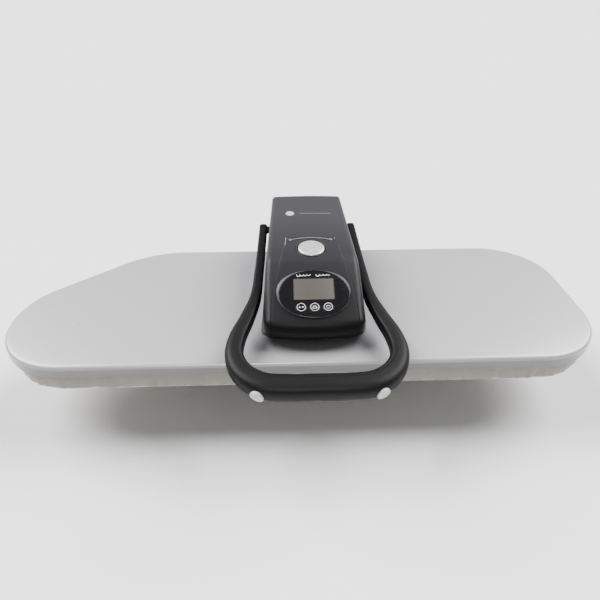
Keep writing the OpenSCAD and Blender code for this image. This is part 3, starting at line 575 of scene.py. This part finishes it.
def side_line(count):
    """The tower's middle line from its back foot over the top and down to the chin: y, z, outward normal."""
    points, normals = rounded_line(SIDE, SIDE_RADII, closed=False)
    both = even(np.hstack([points, -normals]), count)
    return both[:, 0], both[:, 1], both[:, 2:] / np.linalg.norm(both[:, 2:], axis=1, keepdims=True)


def half_width(y, z):
    """Half the tower's width: wider towards the front and towards its foot."""
    places = [-300, -285, -245, -205, -110, -22, 20]
    high = np.interp(y, places, [66.5, 66.5, 65.5, 63.5, 59, 55, 54])
    low = np.interp(y, places, [69, 70, 70, 68.5, 65, 60, 57])
    roof = np.interp(y, [-294, -287, -200, -22, 9, 15], [24, 38, 82, 97, 60, 30])
    share = np.clip((np.asarray(z) - FLOOR_Z) / np.maximum(roof - FLOOR_Z, 1), 0, 1)
    return low + (high - low) * share ** 0.8


def seam_half(y):
    """Half the width between the two long seams of the fascia; behind it, of the tank's bay."""
    return np.interp(y, [-300, -288, -262, -240, -215, -190, -170, FASCIA_BACK, -60, 20],
                     [57.2, 56.9, 55.2, 52.6, 46.0, 40.0, 36.4, 34.9, 36.6, 36.6])


def tower_rows():
    """Cross rows of the tower's outside, each from the left foot over the top to the right foot: 10 points up
    the wall, 19 to the seam, 33 between the seams, and the same back down. Edges are arcs whose radius grows
    from 5.5 mm behind to 11 mm at the nose, the top is crowned 1.2 mm, and the nose falls back towards its
    corners. Rows that face down drop straight back, and feet stay behind the row's end."""
    count = 190
    y, z, normal = side_line(count)
    share = np.linspace(0, 1, count)
    edge_radius = np.interp(y, [-296, -285, -260, -200, -22, 15], [11, 11, 10, 8, 5.5, 6])
    bend = np.radians(np.linspace(4, 90, 20))
    rows = []
    for k in range(count):
        half = float(half_width(y[k], z[k]))
        radius = min(float(edge_radius[k]), half * 0.4)
        flat = half - radius
        x = np.concatenate([np.linspace(0, flat, 40), flat + radius * np.sin(bend)])
        drop = 1.2 * np.minimum(x / half, flat / half) ** 2
        drop[40:] += radius * (1 - np.cos(bend))
        back = 9.0 * float(smooth_step(-y[k], 215, 292)) * (x / half) ** 2.6
        away = normal[k] if normal[k, 1] > 0 else np.array([-1.0, 0.0])
        curve = np.stack([x, y[k] - away[0] * drop + back, z[k] - away[1] * drop], -1)
        edge = float(seam_half(y[k])) + SEAM
        at_edge = [edge] + [float(np.interp(edge, x, curve[:, c])) for c in (1, 2)]
        outside = even(np.vstack([at_edge, curve[x > edge + 0.3]]), 19)
        middle_x = np.linspace(0, 1, 17) * (edge - SEAM)
        middle = np.stack([middle_x] + [np.interp(middle_x, x, curve[:, c]) for c in (1, 2)], -1)
        end = outside[-1]
        foot = np.array([0, 6.0 - 270.0 * share[k], min(FLOOR_Z, end[2])])
        if share[k] > 0.5:
            foot[1] = max(foot[1], end[1] + 2)
        wall = []
        for t in np.linspace(0, 1, 11)[1:]:
            p = end + (foot - end) * t
            p[0] = half_width(p[1], p[2]) + (end[0] - half_width(end[1], end[2])) * (1 - t) ** 2
            wall.append(p)
        right = np.vstack([outside, wall])
        mirror = np.array([-1, 1, 1])
        rows.append(np.vstack([right[::-1] * mirror, middle[:0:-1] * mirror, middle, right]))
    return np.array(rows), y, z, normal


def sheet(name, patches, wall, material, body, node):
    """Joins grid patches into one open skin and gives it a wall on its inner side with a Solidify modifier."""
    points, faces, base = [], [], 0
    for patch in patches:
        rows, columns = patch.shape[:2]
        points.append(patch.reshape(-1, 3))
        faces += [tuple(f) for f in grid_faces(rows, columns, False) + base]
        base += rows * columns
    made = put_in(name, on_tower(np.vstack(points)), faces, material, body, node, turn_out=False)
    with opened(made.data) as work:
        bmesh.ops.remove_doubles(work, verts=work.verts, dist=0.00002)
        bmesh.ops.recalc_face_normals(work, faces=work.faces)
        crest = max(work.faces, key=lambda f: f.calc_center_median().z)
        if crest.normal.z < 0:
            bmesh.ops.reverse_faces(work, faces=work.faces)
    made.data.polygons.foreach_set("use_smooth", [True] * len(made.data.polygons))
    shell = made.modifiers.new("wall", "SOLIDIFY")
    shell.thickness, shell.offset, shell.thickness_clamp = wall * MM, -1, 1.2
    return made


def make_tower():
    """The main shell, with the tank's bay open behind, and the fascia let into its top, panel and nose, with
    a round hole for the button's dish. The fascia stands 0.7 mm proud, its edges rolled, in a groove."""
    rows, y, z, normal = tower_rows()
    side = 29  # points of a row on the outer side of a seam
    first = int(np.argmin(np.abs(y - FASCIA_BACK) + 1000 * (z < 60)))
    bay = int(np.argmin(np.abs(z - BAY_TOP) + 1000 * (y < -60)))
    n3 = np.column_stack([np.zeros(len(y)), normal])
    patches = [rows[bay:first + 1]]
    for part, sign in ((rows[:, :side], -1), (rows[:, -side:], 1)):
        seam = part[:, -1:] if sign < 0 else part[:, :1]
        lips = [seam - n3[:, None] * d + [sign * o, 0, 0] for d, o in ((0.25, -0.05), (0.9, -0.05), (2.6, 0.0))]
        for start, stop in ((0, bay + 1), (first, len(y))):
            strips = [part[start:stop]] + [lip[start:stop] for lip in lips]
            patches.append(np.concatenate(strips[::-sign], 1))
        patches.append(part[bay:first + 1])
    sheet("tower_shell_moulding", patches, 2.6, CHARCOAL, "pressing_arm", "tower_shell")

    middle = rows[first:, side:-side]
    n = n3[first:, None]
    rise = 0.7 * smooth_step(-y[first:], 151, 200)[:, None, None]
    inner = middle.copy()
    inner[..., 0] *= ((seam_half(y[first:]) - 0.9) / seam_half(y[first:]))[:, None]
    inner += n * rise
    lips = {}
    for sign, edge in ((-1, inner[:, :1]), (1, inner[:, -1:])):
        roll = [edge + [sign * 0.9 * math.sin(a), 0, 0] - n * 0.9 * (1 - math.cos(a))
                for a in np.radians([30, 60, 90])]
        lips[sign] = roll + [roll[-1] - n * 1.6]
    inner_rows = np.concatenate([*lips[-1][::-1], inner, *lips[1]], 1)
    # the dish's hole: rings between a circle and the edge of the first rows
    last = int(np.argmin(np.abs(y[first:] + 205)))
    width = inner.shape[1]
    loop = [(0, c) for c in range(width)] + [(r, width - 1) for r in range(1, last)]
    loop += [(last, c) for c in range(width - 1, -1, -1)] + [(r, 0) for r in range(last - 1, 0, -1)]
    centre_row = np.interp(-DISH_Y, -y[first:], np.arange(len(y) - first))
    low, high = int(math.floor(centre_row)), int(math.ceil(centre_row))
    centre = (inner[low, width // 2] + inner[high, width // 2]) / 2
    centre[1] = DISH_Y
    tilt = math.radians(TOP_TILT)
    axes = np.array([[1, 0, 0], [0, math.cos(tilt), math.sin(tilt)]])
    up = np.array([0, -math.sin(tilt), math.cos(tilt)])
    hole_r = 22.2
    border = np.array([inner[r, c] for r, c in loop])
    flat = (border - centre) @ axes.T
    angle = np.arctan2(flat[:, 1], flat[:, 0])
    circle = centre + hole_r * (np.cos(angle)[:, None] * axes[0] + np.sin(angle)[:, None] * axes[1])

    def settle(p):
        """Puts points on the fascia's own surface by reading its height over x and y."""
        out = p.copy()
        for i, q in enumerate(p):
            k = np.interp(-q[1], -y[first:], np.arange(len(y) - first))
            a, b = int(math.floor(k)), min(int(math.floor(k)) + 1, len(y) - first - 1)
            za = np.interp(q[0], inner[a, :, 0], inner[a, :, 2])
            zb = np.interp(q[0], inner[b, :, 0], inner[b, :, 2])
            out[i, 2] = za + (zb - za) * (k - a)
        return out

    circle = settle(circle)
    ring_rows = [border, *(settle(border + (circle - border) * t) for t in (0.2, 0.4, 0.6, 0.8, 0.93)), circle]
    toward = (centre - circle) / hole_r
    for a in np.radians([30, 60, 90]):
        ring_rows.append(circle + toward * 0.8 * math.sin(a) - up * 0.8 * (1 - math.cos(a)))
    ring_rows.append(ring_rows[-1] - up * 2.5)
    ring_rows = np.array(ring_rows)
    ring_rows = np.concatenate([ring_rows, ring_rows[:, :1]], 1)
    edge_left = inner_rows[:last + 1, :len(lips[-1]) + 1]
    edge_right = inner_rows[:last + 1, -len(lips[1]) - 1:]
    sheet("front_fascia_moulding", [ring_rows, edge_left, edge_right, inner_rows[last:]], 2.2, FASCIA,
          "pressing_arm", "front_fascia")
    return rows, y, z


TOWER_ROWS, ROW_Y, ROW_Z = make_tower()


# ---------------------------------------------------------------- turned, flat and swept pieces
def basis(place, up, along=(1, 0, 0)):
    """A place with three axes: along, across and up."""
    up = np.asarray(up, float) / np.linalg.norm(up)
    x = np.asarray(along, float) - up * (np.asarray(along, float) @ up)
    x /= np.linalg.norm(x)
    return np.asarray(place, float), np.array([x, np.cross(up, x), up])


def at(where, p):
    """Points given along a place's three axes, as tower millimetres."""
    return where[0] + np.asarray(p, float) @ where[1]


def leaning(degrees):
    """The upward normal of a surface that rises towards the back by the given angle."""
    return 0, -math.sin(math.radians(degrees)), math.cos(math.radians(degrees))


def on_slope(y, start, degrees):
    """A place and axes at y on the sloping surface through start."""
    return basis((0, y, start[1] + (y - start[0]) * math.tan(math.radians(degrees))), leaning(degrees))


ON_TOP = on_slope(DISH_Y, TOP_BACK, TOP_TILT)
PANEL = on_slope(PANEL_Y, CREST, PANEL_TILT)


def turned(name, where, profile, material, body, node, count=96, centre=(0, 0)):
    """A piece turned on a lathe: each (radius, height) of the profile swept round the axis."""
    a = np.linspace(0, 2 * math.pi, count, endpoint=False)
    rings = [np.column_stack([centre[0] + r * np.cos(a), centre[1] + r * np.sin(a), np.full(count, h)])
             for r, h in profile]
    points, faces = ringed(rings)
    return put_in(name, on_tower(at(where, points)), faces, material, body, node)


def rounded_profile(r, low, high, edge, dish=0.0):
    """Profile of a disc with rounded rims, its faces closed at the middle; dish sinks the top's middle."""
    turn = np.radians(np.linspace(0, 90, 5))
    up = [(r - edge + edge * math.cos(a), high - edge + edge * math.sin(a)) for a in turn]
    down = [(r - edge + edge * math.sin(a), low + edge - edge * math.cos(a)) for a in turn]
    inner = [(r * f, high - dish * (1 - f * f)) for f in (0.85, 0.6, 0.35, 0.1) if r * f < r - edge]
    return [(r * 0.1, low), (r * 0.6, low)] + down + up + inner


def plate(name, where, outer, holes, low, high, edge, material, body, node):
    """A flat plate with holes: walls swept round each outline with a rounded upper edge, flat faces between."""
    points, faces, tops, lows = [], [], [], []
    turn = np.radians(np.linspace(0, 90, 5))
    for k, loop in enumerate([outer, *holes]):
        loop = np.asarray(loop, float)
        ahead = np.roll(loop, -1, 0) - np.roll(loop, 1, 0)
        inward = np.stack([-ahead[:, 1], ahead[:, 0]], -1)
        inward /= np.linalg.norm(inward, axis=1, keepdims=True)
        area = 0.5 * np.sum(loop[:, 0] * np.roll(loop[:, 1], -1) - loop[:, 1] * np.roll(loop[:, 0], -1))
        inward *= math.copysign(1, area) * (1 if k == 0 else -1)
        rings = [np.column_stack([loop, np.full(len(loop), low)])]
        for a in turn:
            rings.append(np.column_stack([loop + inward * edge * (1 - math.cos(a)),
                                          np.full(len(loop), high - edge + edge * math.sin(a))]))
        base = len(points)
        n = len(loop)
        points += [tuple(p) for ring in rings for p in ring]
        faces += [tuple(f) for f in grid_faces(len(rings), n, True) + base]
        lows.append((base, rings[0]))
        tops.append((base + (len(rings) - 1) * n, rings[-1]))
    for layer in (lows, tops):
        ids = [start + i for start, ring in layer for i in range(len(ring))]
        for tri in tessellate_polygon([[Vector(p) for p in ring] for _, ring in layer]):
            faces.append(tuple(ids[i] for i in tri))
    made = put_in(name, on_tower(at(where, points)), faces, material, body, node)
    sharp_below(made, 35)
    return made


def oval(a, b, count=160, power=2.0):
    """An oval outline; a power over two squares its corners."""
    t = np.linspace(0, 2 * math.pi, count, endpoint=False)
    c, s = np.cos(t), np.sin(t)
    return np.stack([a * np.sign(c) * np.abs(c) ** (2 / power), b * np.sign(s) * np.abs(s) ** (2 / power)], -1)


def box_line(x0, x1, y0, y1, r):
    """A rectangle with rounded corners."""
    return rounded_line([(x0, y0), (x1, y0), (x1, y1), (x0, y1)], [r] * 4, steps=6)[0]


def ribbon(name, where, line, width, height, thick, material, body, closed=False):
    """A flat printed line: a strip of the given width along a path, its ends rounded off."""
    line = np.asarray(line, float)
    ahead = (np.roll(line, -1, 0) - np.roll(line, 1, 0)) if closed else np.gradient(line, axis=0)
    side = np.stack([-ahead[:, 1], ahead[:, 0]], -1)
    side /= np.linalg.norm(side, axis=1, keepdims=True)
    wide = np.full(len(line), width / 2)
    if not closed:
        t = np.linspace(-1, 1, len(line))
        wide *= np.sqrt(np.clip(1 - np.abs(t) ** 14, 0.08, 1))
    left, right = line + side * wide[:, None], line - side * wide[:, None]
    top = height + thick
    grid = np.stack([np.column_stack([p, np.full(len(line), h)])
                     for p, h in ((left, height), (left, top), (right, top), (right, height))], 1)
    if closed:
        n = len(line)
        points = grid.reshape(-1, 3)
        faces = [(i * 4 + k, i * 4 + (k + 1) % 4, ((i + 1) % n) * 4 + (k + 1) % 4, ((i + 1) % n) * 4 + k)
                 for i in range(n) for k in range(4)]
    else:
        points, faces = ringed(grid)
    return put_in(name, on_tower(at(where, points)), faces, material, body, smooth=False)


WINDOW_TOP, KEY_V, KEY_PITCH, LCD_V = 2.4, -20.0, 17.3, 6.5
DISPLAY_HALF = (46.3, 34.8)  # half width and half height of the display's oval, inside its ring
SCREEN_HALF = (25.5, 15.5)
SIGN_UP = 0.06  # how far printed signs stand above what carries them


def make_display():
    """The oval display: a sloped grey ring, a gloss black window with openings for the keys and the screen, the
    screen itself, three keys with printed rings and signs, and a written flourish above the screen."""
    count = 160
    ring = []
    line = oval(*DISPLAY_HALF, count)
    around = np.degrees(np.linspace(0, 2 * math.pi, count, endpoint=False))
    wide = 0.5 + 4.0 * np.exp(-((around - 148) / 40) ** 2) + 3.6 * np.exp(-((around - 38) / 34) ** 2)
    out = line / np.linalg.norm(line / DISPLAY_HALF, axis=1, keepdims=True) ** 2 / np.square(DISPLAY_HALF)
    out /= np.linalg.norm(out, axis=1, keepdims=True)
    for share, h in ((1, -2.0), (1, 0.1), (0.92, 0.5), (0.8, 0.8), (0.25, 2.3), (0.12, 2.5), (0.03, 2.45),
                     (0, 2.0), (0, -2.0)):
        ring.append(np.column_stack([line + out * wide[:, None] * share, np.full(count, h)]))
    grid = np.array(ring + ring[:1])
    faces = [tuple(f) for f in grid_faces(len(grid), count, True)]
    put_in("display_bezel_ring", on_tower(at(PANEL, grid.reshape(-1, 3))), faces, BEZEL_GREY,
           "pressing_arm", "display_bezel")
    keys = [oval(6.5, 6.5, 48) + [i * KEY_PITCH, KEY_V] for i in (-1, 0, 1)]
    wide, tall = SCREEN_HALF
    gap = 0.4
    opening = box_line(-wide - gap, wide + gap, LCD_V - tall - gap, LCD_V + tall + gap, 1.2)
    plate("display_window_pane", PANEL, oval(46.1, 34.6, count), [*keys, opening], -1.5, WINDOW_TOP, 0.5,
          WINDOW_BLACK, "pressing_arm", "display_window")
    screen = box_line(-wide, wide, LCD_V - tall, LCD_V + tall, 0.8)
    plate("lcd_screen", PANEL, screen, [], -4.0, WINDOW_TOP - 0.25, 0.2, LCD, "pressing_arm", "lcd_module")
    top = WINDOW_TOP + 0.35
    for i, body in ((-1, "power_key"), (0, "heat_key"), (1, "timer_key")):
        middle = np.array([i * KEY_PITCH, KEY_V])
        turned(body + "_cap", PANEL, rounded_profile(6.1, -3.0, top, 0.45), WINDOW_BLACK, body, body,
               count=64, centre=middle)
        ribbon(body + "_ring", PANEL, oval(5.3, 5.3, 72) + middle, 0.62, top, SIGN_UP, INK_WHITE, body,
               True)
    for k, side in enumerate((-1, 1)):
        diamond = even([(2.9 * side, 0), (1.9 * side, 0.9), (0.9 * side, 0), (1.9 * side, -0.9)], 24, True)
        ribbon(f"power_key_sign_{k}", PANEL, diamond + [-KEY_PITCH, KEY_V], 0.7, top, SIGN_UP, INK_WHITE,
               "power_key", True)
    iron = even([(-2.8, -1.7), (2.8, -1.7), (2.4, 0.2), (0.6, 1.9), (-1.2, 1.9)], 40, True) + [0, KEY_V]
    ribbon("heat_key_sign", PANEL, iron, 0.7, top, SIGN_UP, INK_WHITE, "heat_key", True)
    a = np.radians(np.linspace(8, 172, 24))
    bell = np.stack([2.9 * np.cos(a), 2.6 * np.sin(a) - 0.9], -1)
    foot = np.array([(-2.9, -2.1), (0, -2.1), (2.9, -2.1)])
    for k, line in enumerate((bell, foot)):
        ribbon(f"timer_key_sign_{k}", PANEL, line + [KEY_PITCH, KEY_V], 0.8, top, SIGN_UP, INK_WHITE,
               "timer_key")
    for k, (x0, x1, waves) in enumerate(((-22.0, -3.0, 4.2), (3.5, 21.0, 3.7))):
        t = np.linspace(0, 1, 90)
        x = x0 + (x1 - x0) * t - 0.9 * np.sin(2 * math.pi * waves * t)
        tall = np.where(t < 0.24, 1.75, 0.85)
        v = LCD_V + 20.6 + tall * np.cos(2 * math.pi * waves * t) + 0.6 * t
        ribbon(f"window_flourish_{k}", PANEL, np.stack([x, v], -1), 0.85, WINDOW_TOP, SIGN_UP, INK_WHITE,
               "pressing_arm")


def make_button():
    """The steam button: a turned disc whose top carries a fine swirl pressed into it, in a dished ring of matt
    plastic, with a printed arc behind it."""
    a = np.linspace(0, 2 * math.pi, 144, endpoint=False)
    rings = []
    side = [(2, -5.5), (12, -5.5), (17.2, -5.5), (17.9, -4.9), (18.2, -2)]
    shoulder = [(18.4, -0.3), (18.2, 0.5), (17.8, 1.0), (17.2, 1.4), (16.4, 1.6)]
    for radius, h in side + shoulder:
        rings.append(np.column_stack([radius * np.cos(a), radius * np.sin(a), np.full(len(a), h)]))
    for radius in np.linspace(15.6, 0.6, 30):
        fade = float(smooth_step(radius, 1.5, 8.0) * (1 - smooth_step(radius, 14.4, 15.6)))
        swirl = np.sin(5 * a + 7.0 * math.log(radius + 3))
        swirl += 0.6 * np.sin(3 * a - 9.0 * math.log(radius + 2) + 1)
        swirl += 0.4 * np.sin(11 * a + 4.0 * math.log(radius + 2))
        h = 1.7 + 0.5 * (1 - (radius / 16) ** 2) + 0.2 * fade * swirl
        rings.append(np.column_stack([radius * np.cos(a), radius * np.sin(a), h]))
    points, faces = ringed(rings)
    put_in("steam_button_disc", on_tower(at(ON_TOP, points)), faces, NICKEL, "steam_button", "steam_button")
    wall = [(3, -11.6), (12, -11.6), (21.4, -11.6), (21.4, 0.2), (21.2, 0.7), (20.8, 0.9), (20.4, 0.7),
            (20.1, 0.0)]
    bowl = [(19.8, -3), (19.4, -8.6), (18.6, -9.4), (12, -9.6), (8, -9.6), (7.8, -9.4), (7.7, -9.9),
            (7.7, -10.2), (3, -10.2)]
    turned("button_dish_ring", ON_TOP, wall + bowl, DISH_BLACK, "pressing_arm", "button_dish")
    t = np.linspace(-1, 1, 60)
    ribbon("steam_arc", ON_TOP, np.stack([26.0 * t, 26.0 - 4.4 * t ** 2], -1), 0.8, 0.75, 0.08, INK_GREY,
           "pressing_arm")
    for k, side in enumerate((-1, 1)):
        puff = oval(1.9, 1.5, 24) + [side * 28.6, 20.9]
        ribbon(f"steam_puff_{k}", ON_TOP, puff, 0.8, 0.75, 0.08, INK_GREY, "pressing_arm", True)


make_display()
make_button()


def surface_spot(x, y):
    """A spot on the tower's top at x and y, with its height."""
    k = int(np.argmin(np.abs(ROW_Y - y) + 1000 * (ROW_Z < 60)))
    row = TOWER_ROWS[k]
    row = row[row[:, 2] > 40]
    return np.array([x, y, float(np.interp(x, row[:, 0], row[:, 2]))])


def make_badge():
    """A blank round badge and a faint printed line beside it, on the tower's top."""
    place = basis(surface_spot(-27.5, BADGE_Y), leaning(TOP_TILT))
    turned("badge_disc", place, rounded_profile(6.45, -1.5, 0.55, 0.4), CAP_GREY, "pressing_arm", "badge",
           count=64)
    for k, x in enumerate(np.linspace(-11, 33, 12)):
        spot = basis(surface_spot(x, BADGE_Y), leaning(TOP_TILT))
        ribbon(f"badge_line_{k}", spot, [(-1.3, 0), (0, 0), (1.3, 0)], 1.5, 0.0, 0.07, INK_GREY, "pressing_arm")


make_badge()

# ---------------------------------------------------------------- handle
REACH = 312.0
HALF_PATH = [(69.5, 9), (71.5, -0.15 * REACH), (74, -0.34 * REACH), (77.5, -0.51 * REACH),
             (87.5, -0.64 * REACH), (98, -0.75 * REACH), (100, -0.845 * REACH), (89, -0.93 * REACH),
             (66, -REACH + 4), (34, -REACH), (0, -REACH)]
HALF_A = [6.2, 6.2, 6.4, 7.2, 9, 10.5, 11.5, 13, 14.5, 14.5, 14.5]
HALF_B = [8, 8, 8, 8.5, 9, 10, 11, 12, 13, 13, 13]
SQUARE = [4.2, 4.2, 4.0, 3.6, 3.2, 2.9, 2.7, 2.6, 2.5, 2.5, 2.5]
SLOPE = 8.1  # degrees that the handle drops towards its grip
END_ROUND = 5.0  # length over which its two ends are rounded off


def smooth_through(values, steps):
    """A smooth curve through the given values, with the same number of steps between each two."""
    v = np.asarray(values, float)
    before, after = np.vstack([v[:1], v[:-1]]), np.vstack([v[1:], v[-1:]])
    out = []
    for i in range(len(v) - 1):
        a, b, c, d = before[i], v[i], v[i + 1], after[i + 1]
        for t in np.arange(steps) / steps:
            out.append(0.5 * (2 * b + (c - a) * t + (2 * a - 5 * b + 4 * c - d) * t * t
                              + (3 * b - a - 3 * c + d) * t ** 3))
    return np.array(out + [v[-1]])


def handle_sections():
    """Middle line, side directions and section sizes of the whole handle, in its own tilted plane."""
    half = np.column_stack([HALF_PATH, HALF_A, HALF_B, SQUARE])
    other = half[-2::-1] * [-1, 1, 1, 1, 1]
    line = smooth_through(np.vstack([half, other]), 14)
    step = np.linalg.norm(np.diff(line[:, :2], axis=0), axis=1)
    along = np.concatenate([[0], np.cumsum(step)])
    extra = np.array([0.0, 0.25, 0.8, 1.7, 3.0, 4.6])
    wanted = np.concatenate([extra, np.linspace(6, along[-1] - 6, 330), along[-1] - extra[::-1]])
    line = np.stack([np.interp(wanted, along, line[:, k]) for k in range(5)], -1)
    ends = np.minimum(wanted, along[-1] - wanted)
    shrink = np.sqrt(np.clip(1 - (1 - np.minimum(ends / END_ROUND, 1)) ** 2, 0, 1))
    ahead = np.gradient(line[:, :2], axis=0)
    ahead /= np.linalg.norm(ahead, axis=1, keepdims=True)
    return line, np.stack([-ahead[:, 1], ahead[:, 0]], -1), shrink


def in_handle(x, y, z):
    """Handle coordinates (x across, y from the shaft, z up) as tower millimetres, with the handle's drop."""
    drop = math.radians(SLOPE)
    shaft = (SHAFT - TOWER) / MM
    return np.stack([x, shaft[1] + y * math.cos(drop) - z * math.sin(drop),
                     shaft[2] + y * math.sin(drop) + z * math.cos(drop)], -1)


def handle_point(angle, a, b, power):
    """A point of the handle's section: a rounded square whose inner wall, at 180 degrees, is the flatter."""
    c, s = math.cos(angle), math.sin(angle)
    p = power if c > 0 else power + 1.3
    return a * math.copysign(abs(c) ** (2 / p), c), b * math.copysign(abs(s) ** (2 / p), s)


# How far the seam's edge is sunk towards the section's middle, in its three steps
SEAM_STEPS = (3.0, 0.9, 0.35)
CORE_R = 3.7


def make_handle_shell(name, node, start, stop, core):
    """One shell of the handle: the outside of the section between two angles, its edges rolled in at the seams,
    and closed by a return round the core."""
    line, side, shrink = handle_sections()
    angles = np.radians(np.linspace(start, stop, 40))
    rings = []
    for (x, y, a, b, power), across, k in zip(line, side, shrink):
        section = np.array([handle_point(t, a, b, power) for t in angles])
        lead, tail = ([end * (1 - depth / np.linalg.norm(end)) for depth in SEAM_STEPS]
                      for end in (section[0], section[-1]))
        back = [(core * math.cos(t), core * math.sin(t)) for t in angles[::-4]]
        section = np.vstack([lead, section[1:-1], tail[::-1], back]) * [k, 0.35 + 0.65 * k]
        rings.append(in_handle(x + section[:, 0] * across[0], y + section[:, 0] * across[1], section[:, 1]))
    points, faces = ringed(np.array(rings))
    return put_in(name, on_tower(points), faces, HANDLE_BLACK, "handle", node)


make_handle_shell("handle_outer_shell", "handle_upper_shell", -38, 112, CORE_R)
make_handle_shell("handle_inner_shell", "handle_lower_shell", 113.2, 320.8, CORE_R)


def make_grip_caps():
    """Two light oval buttons let into the lower corners of the grip."""
    line = np.array([0.38, -0.88, -0.12])
    for k, sign in enumerate((-1, 1)):
        centre = in_handle(np.array(sign * 66.0), np.array(-REACH + 3.8), np.array(0.0))
        flat = line * [sign, 1, 1]
        up = in_handle(*(np.array(v) for v in flat)) - in_handle(*(np.array(0.0),) * 3)
        place = basis(centre, up, np.cross(up, (0, 0, 1)))
        profile = rounded_profile(8.4, 9.0, 15.8, 0.9, dish=0.5)
        turned(f"grip_cap_{k}", place, profile, CAP_GREY, "handle", "grip_caps", count=72)


make_grip_caps()


# ---------------------------------------------------------------- softened CAD pieces
def softened(node, width_mm):
    """A copy of a CAD node with its flat faces joined up and a small bevel on every edge."""
    source = frame["nodes"][node]
    mesh = source.data.copy()
    with opened(mesh) as work:
        work.transform(source.matrix_world)
        bmesh.ops.remove_doubles(work, verts=work.verts, dist=0.00001)
        bmesh.ops.dissolve_limit(work, angle_limit=math.radians(0.6), verts=work.verts, edges=work.edges)
        bmesh.ops.recalc_face_normals(work, faces=work.faces)
        for face in work.faces:
            face.smooth = True
    mesh.materials.clear()
    mesh.materials.append(SLOT_FINISH[SLOT_OF[node]])
    made = placed(node + "_soft", mesh)
    bevel = made.modifiers.new("soft_edges", "BEVEL")
    bevel.width, bevel.segments, bevel.limit_method = width_mm * MM, 3, "ANGLE"
    bevel.angle_limit, bevel.harden_normals = math.radians(28), True
    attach(made, BODY_OF[node])
    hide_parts(node)
    return made


for node, width in (("base_pan", 3.0), ("board_column", 2.5), ("rubber_feet", 1.5), ("rear_guard", 0.6),
                    ("hinge_bracket_left", 0.5), ("hinge_bracket_right", 0.5), ("board_tray", 0.6),
                    ("arm_frame", 0.5), ("heat_plate", 0.6), ("water_tank", 0.8), ("tank_cap", 0.4),
                    ("tank_tray", 0.4), ("bracket_bolts", 0.4), ("bottom_plate", 0.3), ("toggle_link", 0.5),
                    ("shaft_crank", 0.5), ("cord_inlet", 0.6)):
    softened(node, width)


# ---------------------------------------------------------------- light and floor
def make_stage():
    """A wide pale floor, a plain grey world, two broad soft lights from behind and a weak one from the front
    that only glossy surfaces show, as the bright line on the lid's edge."""
    floor_mesh = bpy.data.meshes.new("floor")
    w, z = 16.0, CAD_BOX[0][2] - 0.0005
    floor_mesh.from_pydata([(-w, -w, z), (w, -w, z), (w, w, z), (-w, w, z)], [], [(0, 1, 2, 3)])
    floor = placed("floor", floor_mesh)
    made, tree, shader, where = blank("pale_floor")
    tree.links.new(mixed(tree, noise(tree, where, 900.0, 1.0), "f4f4f4", "f8f8f8"), shader.inputs["Base Color"])
    finish_of(shader, Roughness=1.0, Specular_IOR_Level=0.0)
    floor_mesh.materials.append(made)
    world = bpy.data.worlds.new("studio")
    world.use_nodes = True
    world.node_tree.nodes["Background"].inputs[0].default_value = rgb("ffffff")
    world.node_tree.nodes["Background"].inputs[1].default_value = 0.3
    bpy.context.scene.world = world
    for name, toward, power in (("left", (0.62, -0.34, -0.72), 6.6), ("right", (-0.62, -0.34, -0.72), 6.0),
                                ("front", (0.05, 0.62, -0.78), 2.2)):
        data = bpy.data.lights.new(name, "SUN")
        data.energy, data.angle = power, math.radians(16 if name == "front" else 40)
        lamp = placed(name, data)
        lamp.rotation_euler = Vector(toward).to_track_quat("-Z", "Y").to_euler()
        lamp.visible_diffuse = name != "front"


make_stage()
